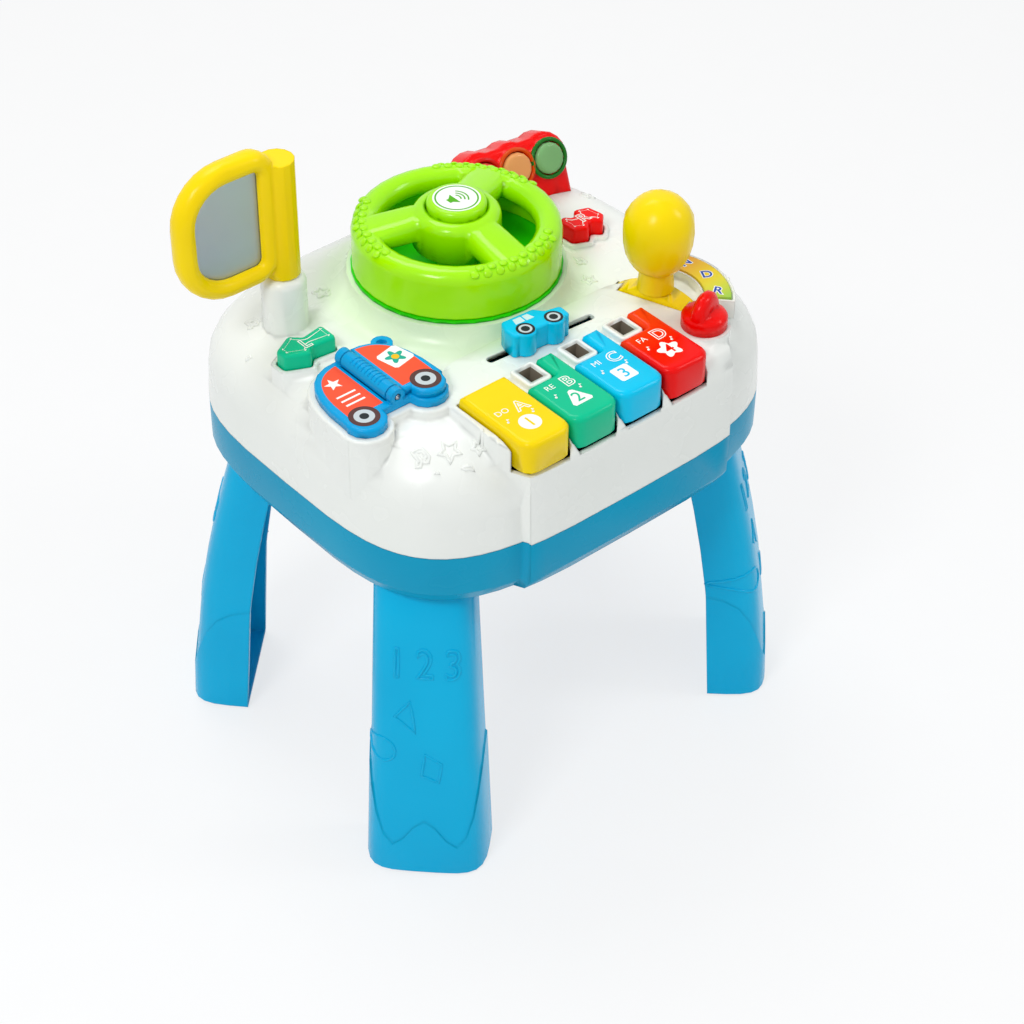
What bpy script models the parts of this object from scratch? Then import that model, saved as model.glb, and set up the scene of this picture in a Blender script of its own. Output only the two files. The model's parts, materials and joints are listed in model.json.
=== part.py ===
# Musical activity table: a rounded white deck on a blue tray with four splayed legs.
# On the deck stand a steering wheel with a horn, a turning mirror, a traffic light, a flip
# book, a sliding car, four piano keys, two signal buttons, a gear lever and a turn knob.
# Metres, +Z up. X runs along the keyboard, -Y faces the child, Z = 0 is the floor.
# Names that end in SHARE or SHARES are parts of a nearby size: places and outline points.
import math

import bpy
import bmesh
from mathutils import Matrix, Vector

for scene_object in list(bpy.data.objects):
    bpy.data.objects.remove(scene_object, do_unlink=True)

# Fits and walls that all pieces share
GAP = 0.0003
CLEARANCE = 0.0006
OVERRUN = 0.004
WALL = 0.0024
WELD = 0.00001
DIGITS = 7
ROUND_STEPS = 36
SMALL_STEPS = 14

# Body: the tray and the deck shell
BODY_WIDTH = 0.232
BODY_DEPTH = 0.202
BODY_POWER = 3.8
BODY_STEPS = 60
UNDERSIDE_HEIGHT = 0.156
RIM_DEPTH = 0.0265
RIM_BEVEL_HEIGHT = 0.006
RIM_BEVEL_INSET = 0.003
LIP_THICKNESS = 0.0012
LIP_HEIGHT = 0.0020
SHELL_DEPTH = 0.047
EDGE_RADIUS = 0.028
DRAFT = 0.001
EDGE_STEPS = 6

# Keyboard housing: a raised panel that also stands proud of the front wall
PANEL_WIDTH = 0.120
PANEL_RISE = 0.004
HOUSING_WIDTH = 0.134
HOUSING_BACK_RADIUS = 0.026
HOUSING_BACK_SHARE = -0.31
HOUSING_TAPER_SHARE = -0.86
HOUSING_STEPS = 8
PANEL_EDGE_RADIUS = 0.017

# Keys
KEY_COUNT = 4
KEY_PITCH = 0.027
KEY_SIDE_GAP = 0.0005
KEY_LENGTH = 0.046
KEY_PROUD = 0.0045
KEY_HEIGHT = 0.0155
KEY_CORNER = 0.0060
KEY_BACK_CORNER = 0.0012
KEY_EDGE = 0.0026
KEY_ARM_WIDTH = 0.006
KEY_ARM_OVERLAP = 0.008
KEY_BACK_SHARE = -0.565
KEYBOARD_CENTRE_SHARE = -0.082
KEY_TRAVEL_DEGREES = 2.5
POCKET_SHIFT = 0.0100
POCKET_WIDTH = 0.008
POCKET_LENGTH = 0.010
POCKET_OVERHANG = -0.0005
POCKET_RIM = 0.0026
POCKET_DEPTH = 0.006
POCKET_RAISE = 0.0028
POCKET_CORNER = 0.0022
POCKET_EDGE = 0.0009
SHAFT_RADIUS = 0.0015
SHAFT_SETBACK = 0.010
EYE_WALL = 0.0020
POST_THICKNESS = 0.0045
POST_WIDTH = 0.007

# Slider
SLOT_LENGTH = 0.059
SLOT_WIDTH = 0.0042
SLOT_TURN_DEGREES = -4.0
SLOT_PLACE_SHARES = (-0.030, -0.425)
CAR_START = -0.0035
CAR_LENGTH = 0.031
CAR_WIDTH = 0.0145
CAR_HEIGHT = 0.0115
CAR_CORNER = 0.0020
CAR_EDGE = 0.0012
CAR_ARCH_RADIUS = 0.0052
CAR_WHEEL_SHARES = (-0.26, 0.24)
CAR_OUTLINE_SHARES = ((-0.50, -0.40), (0.50, -0.40), (0.50, 0.14), (0.24, 0.22), (0.12, 0.50), (-0.44, 0.50),
                      (-0.50, 0.10))
CAR_STEM_LENGTH = 0.014
CAR_FOOT_WIDTH = 0.009
CAR_FOOT_HEIGHT = 0.0022

# Steering wheel
WHEEL_CENTRE_SHARE = 0.197
WHEEL_RADIUS = 0.0483
WHEEL_RIM_RADIUS = 0.0062
WHEEL_HEIGHT = 0.0238
WHEEL_SKIRT = 0.0022
WHEEL_SKIRT_DEGREES = -50.0
RIM_STEPS = 12
PLINTH_RADIUS = 0.0510
PLINTH_RISE = 0.0100
PLINTH_FLARE = 0.0100
FLANGE_THICKNESS = 0.0014
HUB_RADIUS = 0.0205
HUB_TOP_RADIUS = 0.0158
HUB_HEIGHT = 0.0292
HUB_SHOULDER_HEIGHT = 0.0245
HUB_BOTTOM = 0.0110
SLEEVE_RADIUS = 0.0100
SPOKE_COUNT = 3
SPOKE_TURN_DEGREES = -90.0
SPOKE_WIDTH = 0.0195
SPOKE_INNER_TOP = 0.0280
SPOKE_OUTER_TOP = 0.0240
SPOKE_DEPTH = 0.0130
SPOKE_POWER = 2.8
SPINDLE_RADIUS = 0.0062
SPINDLE_HEIGHT = 0.0150
STUB_RADIUS = 0.0085
STUB_LENGTH = 0.0060
SPINDLE_SCREW_RADIUS = 0.0085
SPINDLE_SCREW_HEAD = 0.0022
SPINDLE_SHANK_RADIUS = 0.0014
SPINDLE_SHANK_LENGTH = 0.009
HORN_RADIUS = 0.0138
HORN_PROUD = 0.0040
HORN_THICKNESS = 0.0080
HORN_EDGE = 0.0022
HORN_TRAVEL = 0.0018

# Mirror
MIRROR_PLACE_SHARES = (-0.69, 0.436)
MIRROR_POST_RADIUS = 0.0105
MIRROR_POST_HEIGHT = 0.027
MIRROR_POST_EDGE = 0.0045
MIRROR_ARM_RADIUS = 0.0082
MIRROR_ARM_HEIGHT = 0.058
MIRROR_WIDTH = 0.0515
MIRROR_TALL = 0.066
MIRROR_REACH = 0.0285
MIRROR_LIFT = 0.034
MIRROR_THICKNESS = 0.0115
MIRROR_EDGE = 0.0046
MIRROR_HOLLOW = 0.0038
MIRROR_BORDER = 0.0090
MIRROR_LIP = 0.0043
MIRROR_CATCH = 0.0014
MIRROR_GLASS = 0.0016
MIRROR_PIN_RADIUS = 0.0030
MIRROR_PIN_LENGTH = 0.015
MIRROR_ARM_CORNER = 0.0125
MIRROR_FREE_CORNER = 0.0255
MIRROR_STEPS = 7

# Traffic light
LIGHT_REACH = 0.0146
LIGHT_PLACE_SHARE = 0.556
LIGHT_LENS_HEIGHT = 0.0170
LIGHT_PITCH = 0.0182
LIGHT_COUNT = 3
LIGHT_LENGTH = 0.058
LIGHT_ABOVE = 0.0110
LIGHT_BELOW = 0.0290
LIGHT_THICKNESS = 0.0130
LIGHT_CORNER = 0.0080
LIGHT_EDGE = 0.0020
LIGHT_BROW = 0.0126
LIGHT_BROW_STEP = 0.0004
LIGHT_LEAN_DEGREES = 24.0
LIGHT_YAW_DEGREES = -8.0
LENS_RADIUS = 0.0078
LENS_HOOD = 0.0018
LENS_HOOD_DEPTH = 0.0030
LENS_SEAT_DEPTH = 0.0040
LENS_DOME = 0.0020

# Flip book
BOOK_PLACE_SHARES = (-0.728, -0.225)
BOOK_LENGTH = 0.053
BOOK_DEPTH = 0.0405
BOOK_POWER = 2.9
BOOK_WHEEL_RADIUS = 0.0095
BOOK_WHEEL_SHARES = (-0.33, 0.30)
BOOK_PLINTH_MARGIN = 0.0028
BOOK_PLINTH_RISE = 0.0042
BOOK_BASE = 0.0040
BOOK_PAGE = 0.0036
BOOK_EDGE = 0.0012
BOOK_PAGE_INSET = 0.0012
BOOK_SPINE_RADIUS = 0.0040
BOOK_PIN_RADIUS = 0.0011
BOOK_LUG = 0.0036
BOOK_TAB_RADIUS = 0.0050
BOOK_TAB_HOLE = 0.0024
BOOK_TAB_SHARES = (0.35, 0.86)

# Signal buttons: an arrow head on the left, a curved fork on the right
LEFT_BUTTON_SHARES = (-0.775, 0.160)
RIGHT_BUTTON_REACH = 0.0192
RIGHT_BUTTON_SHARE = 0.115
LEFT_BUTTON_LENGTH = 0.0270
LEFT_BUTTON_DEPTH = 0.0170
RIGHT_BUTTON_LENGTH = 0.0210
RIGHT_BUTTON_DEPTH = 0.0165
BUTTON_PROUD = 0.0075
BUTTON_COLLAR = 0.0130
BUTTON_CORNER = 0.0018
BUTTON_EDGE = 0.0016
BUTTON_FLANGE = 0.0014
BUTTON_FLANGE_THICKNESS = 0.0015
BUTTON_MARGIN = 0.0026
BUTTON_PLINTH_RISE = 0.0018
LEFT_OUTLINE_SHARES = ((-0.50, -0.20), (-0.10, -0.50), (0.02, -0.26), (0.50, -0.34),
                       (0.50, 0.36), (0.06, 0.22), (-0.12, 0.50), (-0.50, 0.16))
RIGHT_OUTLINE_SHARES = ((-0.50, -0.30), (-0.16, -0.50), (0.04, -0.22), (0.26, -0.50), (0.50, -0.20),
                        (0.42, 0.34), (0.06, 0.50), (-0.10, 0.16), (-0.34, 0.46), (-0.50, 0.20))

# Gear lever and its dial
LEVER_REACH = 0.0144
LEVER_PLACE_SHARE = -0.500
LEVER_TURN_DEGREES = 20.0
LEVER_AXIS_DROP = 0.024
LEVER_AXLE_RADIUS = 0.0018
LEVER_SECTOR_RADIUS = 0.0318
LEVER_SECTOR_WIDTH = 0.0110
LEVER_SECTOR_DEGREES = 86.0
LEVER_CHEEK = 0.003
LEVER_CHEEK_LENGTH = 0.010
LEVER_FOOT_RADIUS = 0.0088
LEVER_FOOT_RISE = 0.0006
LEVER_WAIST_RADIUS = 0.0076
LEVER_KNOB_RADIUS = 0.0165
LEVER_STEM_HEIGHT = 0.0150
LEVER_KNOB_MIDDLE = 0.0360
LEVER_TOP = 0.0535
DIAL_INNER_RADIUS = 0.0230
DIAL_OUTER_RADIUS = 0.0350
DIAL_SPREAD_DEGREES = 76.0
DIAL_MIDDLE_DEGREES = -8.0
DIAL_THICKNESS = 0.0016
DIAL_RISE = 0.0006
DIAL_MARGIN = 0.0018
DIAL_STEPS = 12

# Turn knob
KNOB_REACH = 0.0149
KNOB_PLACE_SHARE = -0.812
KNOB_RADIUS = 0.0106
KNOB_SKIRT_HEIGHT = 0.0050
KNOB_DOME_HEIGHT = 0.0085
KNOB_HEIGHT = 0.0165
KNOB_FIN_WIDTH = 0.0066
KNOB_FIN_RADIUS = 0.0097
KNOB_FIN_TURN_DEGREES = 20.0
KNOB_FIN_EDGE = 0.0020
KNOB_STEM_RADIUS = 0.0030
KNOB_STEM_LENGTH = 0.0070
KNOB_CLIP = 0.0010
KNOB_CLIP_HEIGHT = 0.0014
KNOB_MARGIN = 0.0016

# Legs
LEG_SETBACK_X = 0.0230
LEG_SETBACK_Y = 0.0295
LEG_LEAN_X = 0.0145
LEG_LEAN_Y = 0.0185
LEG_LEAN_POWER = 1.8
LEG_WALL = 0.0026
LEG_FOOT_HALF_WIDTH = 0.0288
LEG_TOP_HALF_WIDTH = 0.0228
LEG_FOOT_DEPTH = 0.0290
LEG_TOP_DEPTH = 0.0240
LEG_FOOT_PLATE = 0.0026
LEG_FOOT_EDGE = 0.0012
LEG_BOOT_HEIGHT = 0.064
LEG_BOOT_STEP = 0.0008
LEG_PLUG_INSET = 0.0032
LEG_PLUG_HEIGHT = 0.012
LEG_HEIGHT_SHARES = (0.45, 0.6, 0.75, 0.88)
# Half of the D-shaped section as shares of depth and half width, with the boot line's height
LEG_SECTION_SHARES = ((0.00, 1.00, 1.00), (0.32, 0.99, 0.97), (0.58, 0.965, 0.89), (0.76, 0.91, 0.74),
                      (0.88, 0.82, 0.54), (0.95, 0.69, 0.36), (0.985, 0.53, 0.27), (0.995, 0.36, 0.33),
                      (1.00, 0.18, 0.45), (1.00, 0.00, 0.51))

# Inside and underneath
BOSS_RADIUS = 0.0046
BOSS_PLACE_SHARES = (0.86, 0.34)
SCREW_HEAD_RADIUS = 0.0030
SCREW_HEAD_HEIGHT = 0.0018
SCREW_SHANK_RADIUS = 0.0013
SCREW_SHANK_LENGTH = 0.0120
SCREW_SEAT = 0.0040
BATTERY_COUNT = 3
BATTERY_RADIUS = 0.0070
BATTERY_LENGTH = 0.0500
BATTERY_NUB_RADIUS = 0.0026
BATTERY_NUB_LENGTH = 0.0010
BATTERY_PLACE_SHARE = 0.36
COVER_THICKNESS = 0.0020
COVER_LEDGE = 0.0030
COVER_TONGUE = 0.0120
COVER_SHANK_LENGTH = 0.0040
SPEAKER_PLACE_SHARE = -0.36
SPEAKER_RADIUS = 0.0240
SPEAKER_MAGNET_RADIUS = 0.0120
SPEAKER_RIM_HEIGHT = 0.0030
SPEAKER_HEIGHT = 0.0100
SPEAKER_FENCE_HEIGHT = 0.0050
GRILLE_HOLE_RADIUS = 0.0022
GRILLE_PITCH = 0.0075
GRILLE_RINGS = 2
GRILLE_SPOKES = 6
GRILLE_STEPS = 8
BOARD_SIDE = 0.0080
BOARD_SETBACK = 0.0095
BOARD_DEPTH = 0.0180
BOARD_DROP = 0.0055
BOARD_THICKNESS = 0.0016
BOARD_POST_RADIUS = 0.0030
DOME_RADIUS = 0.0040
DOME_HEIGHT = 0.0024

# Heights that follow from the sizes above
SEAM_HEIGHT = UNDERSIDE_HEIGHT + RIM_DEPTH
DECK_HEIGHT = SEAM_HEIGHT + SHELL_DEPTH
SHOULDER_HEIGHT = DECK_HEIGHT - EDGE_RADIUS
HOUSING_TOP = DECK_HEIGHT + PANEL_RISE
HOUSING_CEILING = HOUSING_TOP - WALL
HALF_WIDTH = BODY_WIDTH / 2.0
HALF_DEPTH = BODY_DEPTH / 2.0


def plastic(name, red, green, blue, roughness, metallic=0.0):
    material = bpy.data.materials.new(name)
    material.use_nodes = True
    shader = material.node_tree.nodes["Principled BSDF"]
    shader.inputs["Base Color"].default_value = (red, green, blue, 1.0)
    shader.inputs["Roughness"].default_value = roughness
    shader.inputs["Metallic"].default_value = metallic
    material.diffuse_color = (red, green, blue, 1.0)
    return material


def place(shares):
    """A place on the deck, from shares of the body's half width and half depth."""
    return (shares[0] * HALF_WIDTH, shares[1] * HALF_DEPTH)


# Outlines in the plan: lists of (x, y)

def superellipse(half_x, half_y, power, steps, centre=(0.0, 0.0)):
    points = []
    for step in range(steps):
        angle = math.tau * step / steps
        cosine, sine = math.cos(angle), math.sin(angle)
        x = math.copysign(abs(cosine) ** (2.0 / power), cosine) * half_x
        y = math.copysign(abs(sine) ** (2.0 / power), sine) * half_y
        points.append((centre[0] + x, centre[1] + y))
    return points


def circle(radius, centre=(0.0, 0.0), steps=SMALL_STEPS):
    return superellipse(radius, radius, 2.0, steps, centre)


def rounded(corners, radii, steps=3):
    """A polygon, given anticlockwise, with its corners turned to arcs."""
    points = []
    count = len(corners)
    for index in range(count):
        corner = Vector(corners[index])
        to_last = (Vector(corners[index - 1]) - corner).normalized()
        to_next = (Vector(corners[(index + 1) % count]) - corner).normalized()
        radius = radii[index] if isinstance(radii, (list, tuple)) else radii
        if radius == 0.0:
            points.append(tuple(corner))
            continue
        half = to_last.angle(to_next) / 2.0
        reach = radius / math.tan(half)
        centre = corner + (to_last + to_next).normalized() * (radius / math.sin(half))
        first = corner + to_last * reach - centre
        last = corner + to_next * reach - centre
        start = math.atan2(first.y, first.x)
        sweep = math.atan2(last.y, last.x) - start
        sweep = (sweep + math.pi) % math.tau - math.pi
        for step in range(steps + 1):
            angle = start + sweep * step / steps
            points.append((centre.x + radius * math.cos(angle), centre.y + radius * math.sin(angle)))
    return points


def box_outline(low, high):
    return [(low[0], low[1]), (high[0], low[1]), (high[0], high[1]), (low[0], high[1])]


def centred_box(centre, length, depth):
    low = (centre[0] - length / 2.0, centre[1] - depth / 2.0)
    return box_outline(low, (centre[0] + length / 2.0, centre[1] + depth / 2.0))


def offset(points, distance):
    """The outline moved outwards by a distance, each corner along its bisector."""
    moved = []
    count = len(points)
    for index in range(count):
        point = Vector(points[index])
        before = (point - Vector(points[index - 1])).normalized()
        after = (Vector(points[(index + 1) % count]) - point).normalized()
        normal = Vector((before.y + after.y, -before.x - after.x)).normalized()
        stretch = max(normal.dot(Vector((before.y, -before.x))), 0.5)
        moved.append(tuple(point + normal * (distance / stretch)))
    return moved


def arc_band(centre, inner, outer, middle_degrees, spread_degrees):
    """Part of a ring, as an anticlockwise outline."""
    turns = []
    for step in range(DIAL_STEPS + 1):
        turns.append(math.radians(middle_degrees + spread_degrees * (step / DIAL_STEPS - 0.5)))
    far = [(centre[0] + outer * math.cos(angle), centre[1] + outer * math.sin(angle)) for angle in turns]
    near = [(centre[0] + inner * math.cos(angle), centre[1] + inner * math.sin(angle)) for angle in turns]
    return far + near[::-1]


# Solids

def solid(name, builder):
    mesh = bpy.data.meshes.new(name)
    bmesh.ops.recalc_face_normals(builder, faces=builder.faces)
    builder.to_mesh(mesh)
    builder.free()
    item = bpy.data.objects.new(name, mesh)
    bpy.context.scene.collection.objects.link(item)
    return item


def loft(name, rings):
    """A closed solid through rings of (x, y, z) points, capped at both ends."""
    builder = bmesh.new()
    rows = [[builder.verts.new([round(value, DIGITS) for value in point]) for point in ring] for ring in rings]
    count = len(rows[0])
    for lower, upper in zip(rows, rows[1:]):
        for index in range(count):
            following = (index + 1) % count
            builder.faces.new((lower[index], lower[following], upper[following], upper[index]))
    builder.faces.new(rows[0][::-1])
    builder.faces.new(rows[-1])
    return solid(name, builder)


def prism(name, outline, bottom, top):
    return loft(name, [[(x, y, z) for x, y in outline] for z in (bottom, top)])


def pillow(name, outline, bottom, top, radius, steps=3, lower=0.0):
    """A prism whose upper edge is rounded, and its lower one where that has a radius."""
    rings = [[(x, y, bottom) for x, y in offset(outline, -lower)]]
    for step in range(1, steps + 1 if lower else 1):
        angle = math.radians(90.0) * (1.0 - step / steps)
        inset = lower * (1.0 - math.cos(angle))
        height = bottom + lower * (1.0 - math.sin(angle))
        rings.append([(x, y, height) for x, y in offset(outline, -inset)])
    for step in range(steps + 1):
        angle = math.radians(90.0) * step / steps
        inset = radius * (1.0 - math.cos(angle))
        height = top - radius * (1.0 - math.sin(angle))
        rings.append([(x, y, height) for x, y in offset(outline, -inset)])
    return loft(name, rings)


def revolve(name, profile, centre=(0.0, 0.0), steps=ROUND_STEPS):
    """A turned solid from its outer profile of (radius, z), with flat ends."""
    return loft(name, [[(x, y, z) for x, y in circle(radius, centre, steps)] for radius, z in profile])


def revolve_ring(name, profile, centre, steps=ROUND_STEPS):
    """A turned ring from a closed profile of (radius, z)."""
    builder = bmesh.new()
    rows = [[builder.verts.new((x, y, z)) for x, y in circle(radius, centre, steps)] for radius, z in profile]
    for index, first in enumerate(rows):
        second = rows[(index + 1) % len(rows)]
        for step in range(steps):
            following = (step + 1) % steps
            builder.faces.new((first[step], first[following], second[following], second[step]))
    return solid(name, builder)


def cylinder(name, radius, bottom, top, centre=(0.0, 0.0), steps=SMALL_STEPS):
    return prism(name, circle(radius, centre, steps), bottom, top)


def rod(name, radius, start, end, steps=SMALL_STEPS):
    """A round bar between two points."""
    start, end = Vector(start), Vector(end)
    item = cylinder(name, radius, 0.0, (end - start).length, (0.0, 0.0), steps)
    aim = Vector((0.0, 0.0, 1.0)).rotation_difference(end - start).to_matrix().to_4x4()
    item.data.transform(Matrix.Translation(start) @ aim)
    return item


def combine(target, tool, operation):
    """Runs a Boolean on the target and uses the tool up."""
    modifier = target.modifiers.new(operation.lower(), "BOOLEAN")
    modifier.operation = operation
    modifier.solver = "EXACT"
    modifier.object = tool
    bpy.context.view_layer.update()
    evaluated = target.evaluated_get(bpy.context.evaluated_depsgraph_get())
    result = bpy.data.meshes.new_from_object(evaluated)
    target.modifiers.clear()
    target.data = result
    bpy.data.objects.remove(tool, do_unlink=True)


def add(target, *tools):
    for tool in tools:
        combine(target, tool, "UNION")
    return target


def cut(target, *tools):
    for tool in tools:
        combine(target, tool, "DIFFERENCE")
    return target


def keep(target, tool):
    combine(target, tool, "INTERSECT")
    return target


def turn(item, centre, degrees, axis):
    """Turns a solid about a point."""
    shift = Matrix.Translation(centre)
    item.data.transform(shift @ Matrix.Rotation(math.radians(degrees), 4, axis) @ shift.inverted())
    return item


def finish(item, material, origin=(0.0, 0.0, 0.0), smooth_degrees=32.0):
    """Tidies the mesh, colours it and puts its origin on the joint's axis."""
    builder = bmesh.new()
    builder.from_mesh(item.data)
    bmesh.ops.remove_doubles(builder, verts=builder.verts, dist=WELD)
    bmesh.ops.dissolve_degenerate(builder, edges=builder.edges, dist=WELD)
    bmesh.ops.triangulate(builder, faces=builder.faces)
    builder.to_mesh(item.data)
    builder.free()
    item.data.transform(Matrix.Translation(-Vector(origin)))
    item.location = origin
    item.data.materials.clear()
    item.data.materials.append(material)
    item.data.shade_smooth()
    item.data.set_sharp_from_angle(angle=math.radians(smooth_degrees))
    return item


WHITE = plastic("white_abs", 0.93, 0.93, 0.91, 0.28)
TRAY_BLUE = plastic("tray_blue_abs", 0.00, 0.36, 0.62, 0.32)
LEG_BLUE = plastic("leg_blue_abs", 0.00, 0.33, 0.64, 0.32)
LIME = plastic("lime_abs", 0.40, 0.86, 0.00, 0.18)
WELL_GREEN = plastic("well_green_abs", 0.00, 0.56, 0.00, 0.35)
YELLOW = plastic("yellow_abs", 0.98, 0.78, 0.00, 0.25)
RED = plastic("red_abs", 0.90, 0.01, 0.01, 0.25)
TEAL = plastic("teal_abs", 0.00, 0.58, 0.31, 0.25)
SKY = plastic("sky_blue_abs", 0.00, 0.60, 0.88, 0.25)
BOOK_BLUE = plastic("book_blue_abs", 0.00, 0.39, 0.74, 0.28)
STEEL = plastic("steel", 0.62, 0.63, 0.65, 0.30, 1.0)
BOARD_GREEN = plastic("board_green", 0.02, 0.22, 0.08, 0.50)
BLACK = plastic("black_plastic", 0.03, 0.03, 0.03, 0.50)
MIRROR_FILM = plastic("mirror_film", 0.45, 0.52, 0.56, 0.06, 1.0)
DIAL_YELLOW = plastic("dial_yellow", 0.96, 0.66, 0.10, 0.30)
LENS_RED = plastic("lens_red_clear", 0.70, 0.03, 0.02, 0.15)
LENS_AMBER = plastic("lens_amber_clear", 0.78, 0.33, 0.12, 0.15)
LENS_GREEN = plastic("lens_green_clear", 0.12, 0.36, 0.12, 0.15)
BATTERY_GREY = plastic("battery_sleeve", 0.20, 0.21, 0.23, 0.35)


# Body forms

def body_ring(inset, z):
    outline = superellipse(HALF_WIDTH - inset, HALF_DEPTH - inset, BODY_POWER, BODY_STEPS)
    return [(x, y, z) for x, y in outline]


def shell_form(name, grow, bottom):
    """The deck's pillow shape, grown outwards by a distance, down to a height."""
    radius = EDGE_RADIUS + grow
    rings = [body_ring(-grow, bottom)]
    for step in range(EDGE_STEPS + 1):
        angle = math.radians(90.0) * step / EDGE_STEPS
        inset = DRAFT + EDGE_RADIUS - radius * math.cos(angle)
        rings.append(body_ring(inset, SHOULDER_HEIGHT + radius * math.sin(angle)))
    return loft(name, rings)


def tray_form(name, grow, bottom, top):
    """The tray's shape with its lower bevel, grown outwards by a distance."""
    rings = [body_ring(RIM_BEVEL_INSET - grow, bottom),
             body_ring(-grow, bottom + RIM_BEVEL_HEIGHT),
             body_ring(-grow, top)]
    return loft(name, rings)


def housing_form(name, grow, bottom):
    """The panel's form: prouder than the deck and with a smaller upper edge."""
    radius = PANEL_EDGE_RADIUS + grow
    middle = DRAFT + PANEL_EDGE_RADIUS - PANEL_RISE
    rings = [body_ring(-PANEL_RISE - grow, bottom)]
    for step in range(EDGE_STEPS + 1):
        angle = math.radians(90.0) * step / EDGE_STEPS
        height = HOUSING_TOP - PANEL_EDGE_RADIUS + radius * math.sin(angle)
        rings.append(body_ring(middle - radius * math.cos(angle), height))
    return loft(name, rings)


HOUSING_BACK = HOUSING_BACK_SHARE * HALF_DEPTH
HOUSING_TAPER = HOUSING_TAPER_SHARE * HALF_DEPTH


def housing_outline(grow):
    half = HOUSING_WIDTH / 2.0 + grow
    front_half = PANEL_WIDTH / 2.0 + grow
    reach = -HALF_DEPTH - PANEL_RISE - OVERRUN
    corners = [(-front_half, reach), (front_half, reach), (front_half, -HALF_DEPTH),
               (half, HOUSING_TAPER), (half, HOUSING_BACK + grow), (-half, HOUSING_BACK + grow),
               (-half, HOUSING_TAPER), (-front_half, -HALF_DEPTH)]
    radius = HOUSING_BACK_RADIUS + grow
    return rounded(corners, [0.0, 0.0, 0.0, 0.0, radius, radius, 0.0, 0.0], HOUSING_STEPS)


# Keyboard: places and outlines that the shell, the keys, the shaft and the board share
KEY_TOP = HOUSING_TOP + KEY_PROUD
KEY_BOTTOM = KEY_TOP - KEY_HEIGHT
KEY_BACK = KEY_BACK_SHARE * HALF_DEPTH
KEY_FRONT = KEY_BACK - KEY_LENGTH
KEYS_LEFT = KEYBOARD_CENTRE_SHARE * HALF_WIDTH - KEY_PITCH * KEY_COUNT / 2.0
KEYS_RIGHT = KEYS_LEFT + KEY_PITCH * KEY_COUNT
SHAFT_Y = KEY_BACK + SHAFT_SETBACK
SHAFT_BORE = SHAFT_RADIUS + CLEARANCE
EYE_RADIUS = SHAFT_BORE + EYE_WALL
SHAFT_Z = KEY_BOTTOM - SHAFT_RADIUS
KEY_DROP = (SHAFT_Y - KEY_FRONT) * math.sin(math.radians(KEY_TRAVEL_DEGREES))
WELL_BOTTOM = KEY_BOTTOM - KEY_DROP - CLEARANCE


def key_left(index):
    return KEYS_LEFT + KEY_PITCH * index


def key_outline(index, grow):
    """A key seen from above; all but the first are notched round a pocket."""
    left = key_left(index) + KEY_SIDE_GAP - grow
    right = key_left(index) + KEY_PITCH - KEY_SIDE_GAP + grow
    back = KEY_BACK + grow
    front = KEY_FRONT - grow
    if index == 0:
        corners = [(left, front), (right, front), (right, back), (left, back)]
        return rounded(corners, [KEY_CORNER, KEY_CORNER, KEY_BACK_CORNER, KEY_BACK_CORNER])
    notch_x = key_left(index) + POCKET_SHIFT + POCKET_WIDTH / 2.0 + POCKET_RIM + CLEARANCE - grow
    notch_y = KEY_BACK + POCKET_OVERHANG - POCKET_LENGTH - POCKET_RIM - CLEARANCE + grow
    corners = [(left, front), (right, front), (right, back), (notch_x, back),
               (notch_x, notch_y), (left, notch_y)]
    small = KEY_BACK_CORNER
    return rounded(corners, [KEY_CORNER, KEY_CORNER, small, small, small, small])


# Wheel heights
WHEEL_CENTRE = (0.0, WHEEL_CENTRE_SHARE * HALF_DEPTH)
PLINTH_TOP = DECK_HEIGHT + PLINTH_RISE
WHEEL_FLOOR = PLINTH_TOP + GAP + FLANGE_THICKNESS


def plinth_profile(grow):
    """The wheel's plinth with a hollow flare down to the deck."""
    profile = [(PLINTH_RADIUS + PLINTH_FLARE + grow, DECK_HEIGHT - WALL)]
    for step in range(EDGE_STEPS + 1):
        angle = math.radians(90.0) * step / EDGE_STEPS
        radius = PLINTH_RADIUS + PLINTH_FLARE * (1.0 - math.sin(angle)) + grow
        profile.append((radius, PLINTH_TOP - PLINTH_RISE * math.cos(angle) + grow))
    return profile


# Flip book: heights and outline
BOOK_CENTRE = place(BOOK_PLACE_SHARES)
BOOK_LOW = BOOK_CENTRE[1] - BOOK_DEPTH / 2.0
BOOK_FLOOR = DECK_HEIGHT + BOOK_PLINTH_RISE
BOOK_BASE_TOP = BOOK_FLOOR + GAP + BOOK_BASE
BOOK_PAGE_TOP = BOOK_BASE_TOP + GAP + BOOK_PAGE
BOOK_AXIS_Z = BOOK_BASE_TOP + GAP + BOOK_PAGE / 2.0


def book_shape(name, grow, bottom, top, radius):
    """A toy car's side view: a round roof over two wheel arches."""
    roof = []
    for step in range(1, SMALL_STEPS):
        angle = math.pi * step / SMALL_STEPS
        cosine, sine = math.cos(angle), abs(math.sin(angle))
        across = math.copysign(abs(cosine) ** (2.0 / BOOK_POWER), cosine) * (BOOK_LENGTH / 2.0 + grow)
        roof.append((BOOK_CENTRE[0] + across, BOOK_LOW + sine ** (2.0 / BOOK_POWER) * (BOOK_DEPTH + grow)))
    left, right = BOOK_CENTRE[0] - BOOK_LENGTH / 2.0 - grow, BOOK_CENTRE[0] + BOOK_LENGTH / 2.0 + grow
    outline = [(left, BOOK_LOW - grow), (right, BOOK_LOW - grow)] + roof
    shape = pillow(name, outline, bottom, top, radius)
    for share in BOOK_WHEEL_SHARES:
        wheel = circle(BOOK_WHEEL_RADIUS + grow, (BOOK_CENTRE[0] + share * BOOK_LENGTH, BOOK_LOW))
        add(shape, pillow("wheel_arch", wheel, bottom, top, radius))
    return shape


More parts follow.
